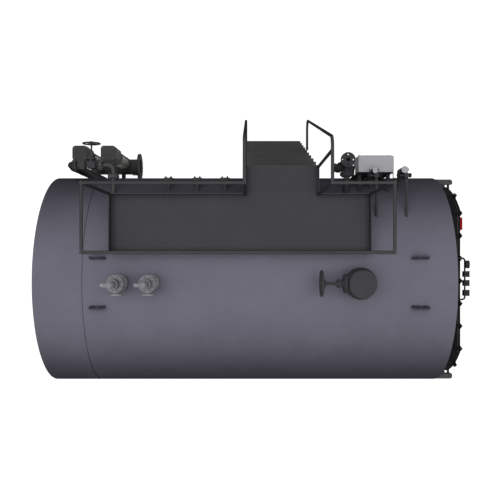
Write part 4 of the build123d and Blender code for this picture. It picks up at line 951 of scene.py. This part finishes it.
groundPlan = dict(saddle=(1.25, 0.56), saddleBolt=(-0.075, -0.038), plate=0.204, pad=0.010,
                  padBolt=(-0.029, -0.068), cradles=((-1.672, 1.308), (-1.430, 1.308)),
                  cradleBolt=(-0.021, -0.066))
stairPlan = dict(ends=(-0.047, 0.611), inset=0.029, stringer=0.012, width=0.150, landing=1.049, going=0.063,
                 depth=0.132, tray=0.030, sheet=0.006, risers=10, under=0.060, behind=0.012,
                 pad=(0.090, 0.180, 0.010), boltBacks=(0.030, 0.048))
stepNumbers = np.arange(1, stairPlan["risers"])
stepLevels = deckTop - stepNumbers * deckTop / stairPlan["risers"]
stepNoses = stairPlan["landing"] + stairPlan["going"] * stepNumbers
stringerXs = (stairPlan["ends"][0] + stairPlan["inset"], stairPlan["ends"][1] - stairPlan["inset"])


def pressedTread(nose, level, ends, depth, tray, sheet, **others):
    # a folded tray: its profile goes round outside and back inside, carried from end to end
    back, low = nose - depth, level - tray
    bend = np.linspace(0, np.pi / 2, 4)
    sine, cosine = sheet * np.sin(bend), sheet * np.cos(bend)
    rear = np.column_stack([back + sheet - cosine, level - sheet + sine])
    front = np.column_stack([nose - sheet + sine, level - sheet + cosine])
    inside = [(nose, low), (nose - sheet, low), (nose - sheet, level - sheet), (back + sheet, level - sheet),
              (back + sheet, low)]
    profile = np.vstack([(back, low), rear, front, inside])
    folded = loft([np.column_stack([np.full(len(profile), x), profile])
                   for x in (ends[0] + 0.001, ends[1] - 0.001)], False)
    plate = softBlock((sheet, depth - 0.002, tray - 0.001), 0.001, 0.001, 1)
    return joined([folded] + [placed(plate, (x, (nose + back) / 2, (level + low) / 2))
                              for x in (ends[0] + sheet / 2, ends[1] - sheet / 2)])


def cutStringer(x, stringer, width, landing, going, tray, risers, under, behind, pad, **others):
    # plate under the trays: its front edge climbs in steps, its rear edge runs straight
    inner, tops = stepNoses - behind, stepLevels - tray
    front = [(inner[-1], 0.0)]
    for number in range(risers - 2, 0, -1):
        front += [(inner[number], tops[number]), (inner[number - 1], tops[number])]
    front += [(inner[0], tops[0]), (landing - behind, tops[0]), (landing - behind, deckTop - under)]
    y, z = np.transpose(front)
    height = np.linspace(0, 1, len(front)) * (deckTop - under)
    rear = landing + going * risers / deckTop * (deckTop - height) - width
    across = np.broadcast_to(x + np.array([-1, 1, 1, -1]) * stringer / 2, (len(front), 4))
    outwards, upwards = np.column_stack([y, y, rear, rear]), np.column_stack([z, z, height, height])
    rings = np.stack([across, outwards, upwards], -1)
    foot = placed(softBlock(pad, 0.004, 0.0015, 2), (x, stepNoses[-1] - pad[1] / 2, pad[2] / 2))
    return joined([loft(rings), foot])


def groundNuts(saddle, saddleBolt, plate, pad, padBolt, cradles, cradleBolt):
    # four nuts on each saddle foot, stair pad and cradle foot
    padY = stepNoses[-1] - stairPlan["pad"][1] / 2
    sets = (((0.024, 0.017, True, 0.008), fourAround(*saddle), saddleBolt, plate),
            ((0.015, 0.011, True, 0.006), [(x, padY) for x in stringerXs], padBolt, pad),
            ((0.013, 0.010, True, 0.005), cradles, cradleBolt, pad))
    shapes = []
    for seed, (size, middles, bolt, level) in enumerate(sets, 1):
        spots = [(x + dx, y + dy, level) for x, y in middles for dx, dy in fourAround(*bolt)]
        shapes.append(nuts(size, spots, up, seed))
    return joined(shapes)


def treadBolts(boltBacks, **others):
    # two bolts down through each tray into the angle on either stringer
    shapes = []
    for x in stringerXs:
        for back in boltBacks:
            spots = np.column_stack([np.full(len(stepLevels), x), stepNoses - back, stepLevels])
            shapes.append(fixed(domeHead(0.006, 0.0022), spots, up, 7))
    return joined(shapes)


treadShapes = [pressedTread(nose, level, **stairPlan) for nose, level in zip(stepNoses, stepLevels)]
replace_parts(makePiece("pressed_treads", joined(treadShapes), "treadPaint"), "stair_treads")
stringerShapes = [cutStringer(x, **stairPlan) for x in stringerXs]
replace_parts(makePiece("cut_stringers", joined(stringerShapes), "shadePaint"), "stair_stringers")
makePiece("ground_nuts", groundNuts(**groundPlan), "darkBolt")
makePiece("tread_bolts", treadBolts(**stairPlan), "treadPaint")
print("ground and stair fixings made")


# Angle valve's actuator hood and lever, squared valve bodies, and lagging on the feed riser

hoodPlan = dict(
    hood=(0.900, 1.108, 2.030), lean=(-0.87, -0.49, 0.0),
    profile=((0.020, 0.0), (0.040, 0.006), (0.044, 0.020), (0.044, 0.048), (0.040, 0.052), (0.040, 0.058),
             (0.044, 0.062), (0.042, 0.080), (0.034, 0.098), (0.020, 0.108)),
    lever=((0.978, 1.140, 2.085), (0.988, 1.128, 2.080), (0.994, 1.100, 2.068), (0.994, 1.070, 2.056),
           (0.986, 1.040, 2.048)),
)
blockPlan = dict(angle=((0.118, 0.098, 0.084), 0.014, (0.938, 1.050, 1.998)),
                 stop=((0.077, 0.060, 0.102), 0.006, (-1.506, 1.100, 2.042)),
                 check=((0.048, 0.086, 0.106), 0.006, (-1.592, 1.101, 2.040)))
laggingPlan = dict(x=-1.714, y=1.105, r=0.046, low=0.46, high=1.93, bands=5)


def actuatorHood(hood, lean, profile, lever):
    # a bell-shaped profile swung round a slanted axis, and a bent lever beside it
    return joined([turnedAt(profile, 36, hood, lean), tube(lever, [0.004, 0.0055, 0.006, 0.0055, 0.004], 10)])


def valveBlocks(plan):
    # squared outer shells of the cast bodies
    return joined([placed(softBlock(size, corner, 0.004), middle) for size, corner, middle in plan.values()])


def riserLagging(x, y, r, low, high, bands):
    # sheet-covered lagging: a plain sleeve with a raised band at each seam and cones at the ends
    profile = [(r * 0.78, low), (r, low + 0.030)]
    seam = ((0, -0.009), (0.0015, -0.008), (0.0015, 0.008), (0, 0.009))
    for level in np.linspace(low + 0.06, high - 0.06, bands):
        profile += [(r + proud, level + rise) for proud, rise in seam]
    return turnedAt(profile + [(r, high - 0.030), (r * 0.78, high)], 40, (x, y, 0))


makePiece("actuator_hood", actuatorHood(**hoodPlan), "shadePaint")
makePiece("valve_blocks", valveBlocks(blockPlan), "valveIron")
makePiece("riser_lagging", riserLagging(**laggingPlan), "riserPaint")
print("actuator hood and lagging made")


# Control cabinet: hinges, locks, lamps, selector, louvres and cable glands

cabinetPlan = dict(x=(1.025, 1.357), y=1.188, z=(1.889, 2.118), louvre=0.060, louvreR=0.007, glandY=1.105,
                   lamps=(("red", "lensRed"), ("amber", "lensAmber"), ("green", "lensGreen")),
                   lens=((0.0085, 0.0), (0.0085, 0.006), (0.007, 0.010), (0.004, 0.0118)))


def cabinetTrim(x, y, z, glandY, **others):
    # hinges, locks, selector and glands, each a profile swung round its own axis
    hinge = [(0.006, -0.024), (0.0065, -0.023), (0.0065, 0.023), (0.006, 0.024)]
    lock = [(0.014, 0.0), (0.014, 0.004), (0.012, 0.006), (0.009, 0.006), (0.009, 0.012), (0.006, 0.013)]
    knob = [(0.022, 0.0), (0.022, 0.004), (0.016, 0.006), (0.015, 0.011), (0.012, 0.012)]
    gland = [(0.013, 0.0), (0.013, 0.012), (0.010, 0.014), (0.010, 0.028), (0.007, 0.030)]
    shapes = [turnedAt(hinge, 16, (x[0] + 0.010, y - 0.001, level)) for level in (z[0] + 0.05, z[1] - 0.05)]
    shapes += [turnedAt(lock, 28, (x[1] - 0.034, y, level), north) for level in (z[0] + 0.06, z[1] - 0.10)]
    shapes.append(turnedAt(knob, 32, (sum(x) / 2 + 0.05, y, z[1] - 0.125), north))
    shapes += [turnedAt(gland, 16, (x[0] + 0.07 + 0.064 * number, glandY, z[0]), down) for number in range(4)]
    return joined(shapes)


def cabinetLouvres(x, y, z, louvre, louvreR, **others):
    # pressed hoods: half a flattened tube over each slot
    across = np.linspace(-louvre, louvre, 13)[:, None]
    turn = np.linspace(0, np.pi, 7)
    swell = np.sqrt(1 - (across / (louvre + 0.001)) ** 8)
    rings = np.stack(np.broadcast_arrays(sum(x) / 2 + across, y - 0.001 + louvreR * swell * np.sin(turn),
                                         louvreR * np.cos(turn)), -1)
    return joined([loft(rings + (0, 0, z[0] + 0.030 + 0.018 * number)) for number in range(4)])


makePiece("cabinet_fittings", cabinetTrim(**cabinetPlan), "instrumentBlack")
makePiece("cabinet_louvres", cabinetLouvres(**cabinetPlan), "cabinetPaint", smooth=60)
for number, (lampName, lampFinish) in enumerate(cabinetPlan["lamps"]):
    lampSpot = (cabinetPlan["x"][0] + 0.10 + 0.066 * number, cabinetPlan["y"], cabinetPlan["z"][1] - 0.090)
    lampShape = turnedAt(cabinetPlan["lens"], 20, lampSpot, north)
    makePiece("cabinet_lamp_" + lampName, lampShape, lampFinish, smooth=60)
print("cabinet trim made")


# Level gauges: packing nuts, cock levers, housings with their lids, and plug cocks

gaugePlan = dict(xs=(1.171, 1.450), y=0.985, top=2.232, low=1.930, headTop=2.262, headDrop=0.230,
                 heads=((0.044, 0.054, 1.156, 1.030), (0.060, 0.062, 1.430, 1.036)))


def gaugeTrim(xs, y, top, low, **others):
    # how far the lever's points lie west and north of the cock
    crank = ((0.058, 0), (0.060, 0.002), (0.062, 0.030), (0.062, 0.055))
    shapes = []
    for x in xs:
        for z, way in ((top, -1), (low, 1)):
            lever = [(x - aside, y + out, z) for aside, out in crank]
            shapes += [nuts((0.032, 0.014, False), [(x, y, z + way * 0.022)], (0, 0, way)),
                       nuts((0.028, 0.010, False), [(x, y - 0.020, z)], south, 2),
                       tube(lever, [0.0045, 0.0045, 0.004, 0.0055], 10)]
    return joined(shapes)


def stacked(ring, levels, place):
    # the ring at each level, drawn in by its share
    rings = [np.column_stack([ring * share, np.full(len(ring), z)]) for share, z in levels]
    return placed(loft(rings), place)


def gaugeHeads(headTop, headDrop, heads, **others):
    # an eight-sided housing over each upper cock, its lid apart
    bodyLevels = ((0.62, -headDrop), (0.90, 0.012 - headDrop), (0.90, -0.014), (0.90, -0.006))
    lidLevels = ((1.0, -0.010), (1.0, -0.002), (0.93, 0.0))
    bodies, lids = [], []
    for width, depth, x, y in heads:
        cut = width * 0.28
        ring = np.array([(sx * (width / 2 - cutX), sy * (depth / 2 - cutY))
                         for sx, sy in ((1, 1), (-1, 1), (-1, -1), (1, -1))
                         for cutX, cutY in ((0, cut), (cut, 0))[::sx * sy]])
        bodies.append(stacked(ring, bodyLevels, (x, y, headTop)))
        lids += [stacked(ring, lidLevels, (x, y, headTop)),
                 placed(domeHead(0.007, 0.003), (x, y, headTop - 0.0002))]
    return joined(bodies), joined(lids)


def crossCocks(xs, y, top, **others):
    # a plug cock set across under each head: barrel, nut ends and a knob
    barrel = [(0.010, -0.078), (0.019, -0.076), (0.022, -0.060), (0.022, -0.046), (0.013, -0.042),
              (0.013, -0.024), (0.017, -0.022), (0.017, 0.022), (0.012, 0.024), (0.012, 0.032),
              (0.021, 0.036), (0.021, 0.052), (0.017, 0.057)]
    return joined([turnedAt(barrel, 28, (x, y + 0.006, top - 0.052), east) for x in xs])


makePiece("level_gauge_trim", gaugeTrim(**gaugePlan), "instrumentBlack", smooth=50)
headBodies, headLids = gaugeHeads(**gaugePlan)
makePiece("level_gauge_heads", headBodies, "gaugeDark", smooth=30)
makePiece("level_gauge_lids", headLids, "cabinetPaint", smooth=30)
makePiece("level_gauge_cocks", crossCocks(**gaugePlan), "shadePaint")
print("level gauge trim made")


# Pressure gauge dial, switch covers and the red box's lid

dialPlan = dict(place=(2.0085, 0.161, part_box("pressure_gauge")[1].z - 0.038), r=0.031, needle=-40)
switchPlan = dict(ys=(0.070, -0.013, -0.105), x=2.004, rise=0.832)


def dialMarks(place, r, needle):
    # long and short ticks over 270 degrees and a tapered needle
    marks = []
    for number in range(25):
        size = (0.0004, 0.0026, 0.0004) if number % 3 else (0.0007, 0.0040, 0.0004)
        tick = placed(softBlock(size, 0.00012, 0.0001, 1), (0, r - 0.0045, 0))
        marks.append(placed(tick, (0, 0, 0), up, -math.radians(-135 + 270 * number / 24)))
    hand = slab([(-0.0009, -0.007), (0.0009, -0.007), (0.0003, 0.021), (-0.0003, 0.021)], 0.0006)
    marks += [placed(hand, (0, 0, 0.0008), up, -math.radians(needle)),
              turned([(0.0022, 0.0), (0.0022, 0.0022), (0.0014, 0.0028)], 16)]
    return placed(joined(marks), (place[0] + 0.0006, place[1], place[2]), east)


def switchCovers(ys, x, rise):
    # a lid on each switch's face, a knob above it and a gland below
    face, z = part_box("instrument_rail")[1].x, axisZ + rise
    gland = [(0.009, 0.0), (0.009, 0.009), (0.007, 0.011), (0.007, 0.020), (0.005, 0.021)]
    shapes = []
    for y in ys:
        shapes += [placed(softBlock((0.058, 0.046, 0.004), 0.004, 0.0015), (face, y, z), east),
                   turnedAt([(0.009, 0.0), (0.009, 0.007), (0.007, 0.009)], 20, (x, y, z + 0.035)),
                   turnedAt(gland, 16, (x, y, z - 0.035), down)]
    return joined(shapes)


def redLid():
    # the box's lid and its four corner screws
    low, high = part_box("red_box")
    y, z = (low.y + high.y) / 2, (low.z + high.z) / 2
    lid = softBlock((high.y - low.y - 0.016, high.z - low.z - 0.016, 0.003), 0.006, 0.0012)
    screws = [(high.x + 0.0014, y + dy, z + dz) for dy, dz in fourAround(0.044, 0.058)]
    return placed(lid, (high.x - 0.0002, y, z), east), fixed(domeHead(0.004, 0.002), screws, east)


dialFace = turnedAt([(dialPlan["r"], -0.0004), (dialPlan["r"], 0.0004)], 64, dialPlan["place"], east)
makePiece("gauge_dial_face", dialFace, "dialWhite")
makePiece("gauge_dial_marks", dialMarks(**dialPlan), "dialBlack")
makePiece("switch_covers", switchCovers(**switchPlan), "instrumentBlack")
redCover, redScrews = redLid()
makePiece("red_box_lid", redCover, "redPaint", "door_north_leaf")
makePiece("red_box_screws", redScrews, "boltZinc", "door_north_leaf")
print("instruments made")


# Stage: pale floor that shows white with a faint shadow, and soft light from above

stagePlan = dict(floorTone=(0.22, 0.22, 0.22, 1.0), floorPale=(0.30, 0.30, 0.30, 1.0), floorGlow=0.92,
                 floorRough=0.9, floorHalf=30.0, skyLevel=0.14)
sunPlan = dict(energy=2.10, angle=math.radians(66.0), height=12.0,
               lean=(math.radians(-2), math.radians(-5), 0))
stripPlan = dict(energy=64.0, shape="RECTANGLE", size=12.0, size_y=0.8, height=5.6, lean=(0, 0, 0))
white = (1, 1, 1, 1)


def shownRays(graph):
    # 1 for a ray from the camera, off gloss or through glass
    path = graph.node("LightPath").outputs
    seen = graph.maths("MAXIMUM", path["Is Camera Ray"], path["Is Glossy Ray"])
    return graph.maths("MAXIMUM", seen, path["Is Transmission Ray"])


def makeFloor(floorTone, floorPale, floorGlow, floorRough, floorHalf, **others):
    # grey for the light it throws back, white where it is seen
    floor = bpy.data.materials.new("stageFloor")
    floor.use_nodes = True
    graph = Graph(floor.node_tree)
    shader = graph.tree.nodes["Principled BSDF"]
    for label, value in (("Base Color", floorTone), ("Roughness", floorRough), ("Specular IOR Level", 0.0)):
        graph.feed(shader.inputs[label], value)
    pale = graph.node("BsdfDiffuse", Color=floorPale).outputs[0]
    glow = graph.node("Emission", Color=white, Strength=floorGlow).outputs[0]
    both = graph.node("AddShader", n0=pale, n1=glow).outputs[0]
    choice = graph.node("MixShader", n0=shownRays(graph), n1=shader.outputs[0], n2=both).outputs[0]
    graph.feed(graph.tree.nodes["Material Output"].inputs["Surface"], choice)
    mesh = bpy.data.meshes.new("stageFloor")
    corners = [(x * floorHalf, y * floorHalf, 0) for x, y in ((-1, -1), (1, -1), (1, 1), (-1, 1))]
    mesh.from_pydata(corners, [], [(0, 1, 2, 3)])
    mesh.materials.append(floor)
    plane = newObject("stageFloor", mesh)


def makeSky(skyLevel, **others):
    # dim to the object, white where it is seen
    world = bpy.data.worlds.new("softSky")
    world.use_nodes = True
    graph = Graph(world.node_tree)
    back = graph.tree.nodes["Background"]
    level = graph.node("Mix", dict(data_type="FLOAT"), n0=shownRays(graph), n2=skyLevel, n3=1.0).outputs[0]
    graph.feed(back.inputs["Color"], white)
    graph.feed(back.inputs["Strength"], level)
    bpy.context.scene.world = world


def makeLamp(name, kind, height, lean, **settings):
    lamp = bpy.data.lights.new(name, kind)
    for label, value in settings.items():
        setattr(lamp, label, value)
    holder = newObject(name, lamp)
    holder.rotation_euler = lean
    holder.location = (0, 0, height)
    holder.visible_camera = False


makeFloor(**stagePlan)
makeSky(**stagePlan)
makeLamp("softSun", "SUN", **sunPlan)
makeLamp("stripLamp", "AREA", **stripPlan)
bpy.context.scene.view_settings.view_transform = "Standard"
print("stage set")
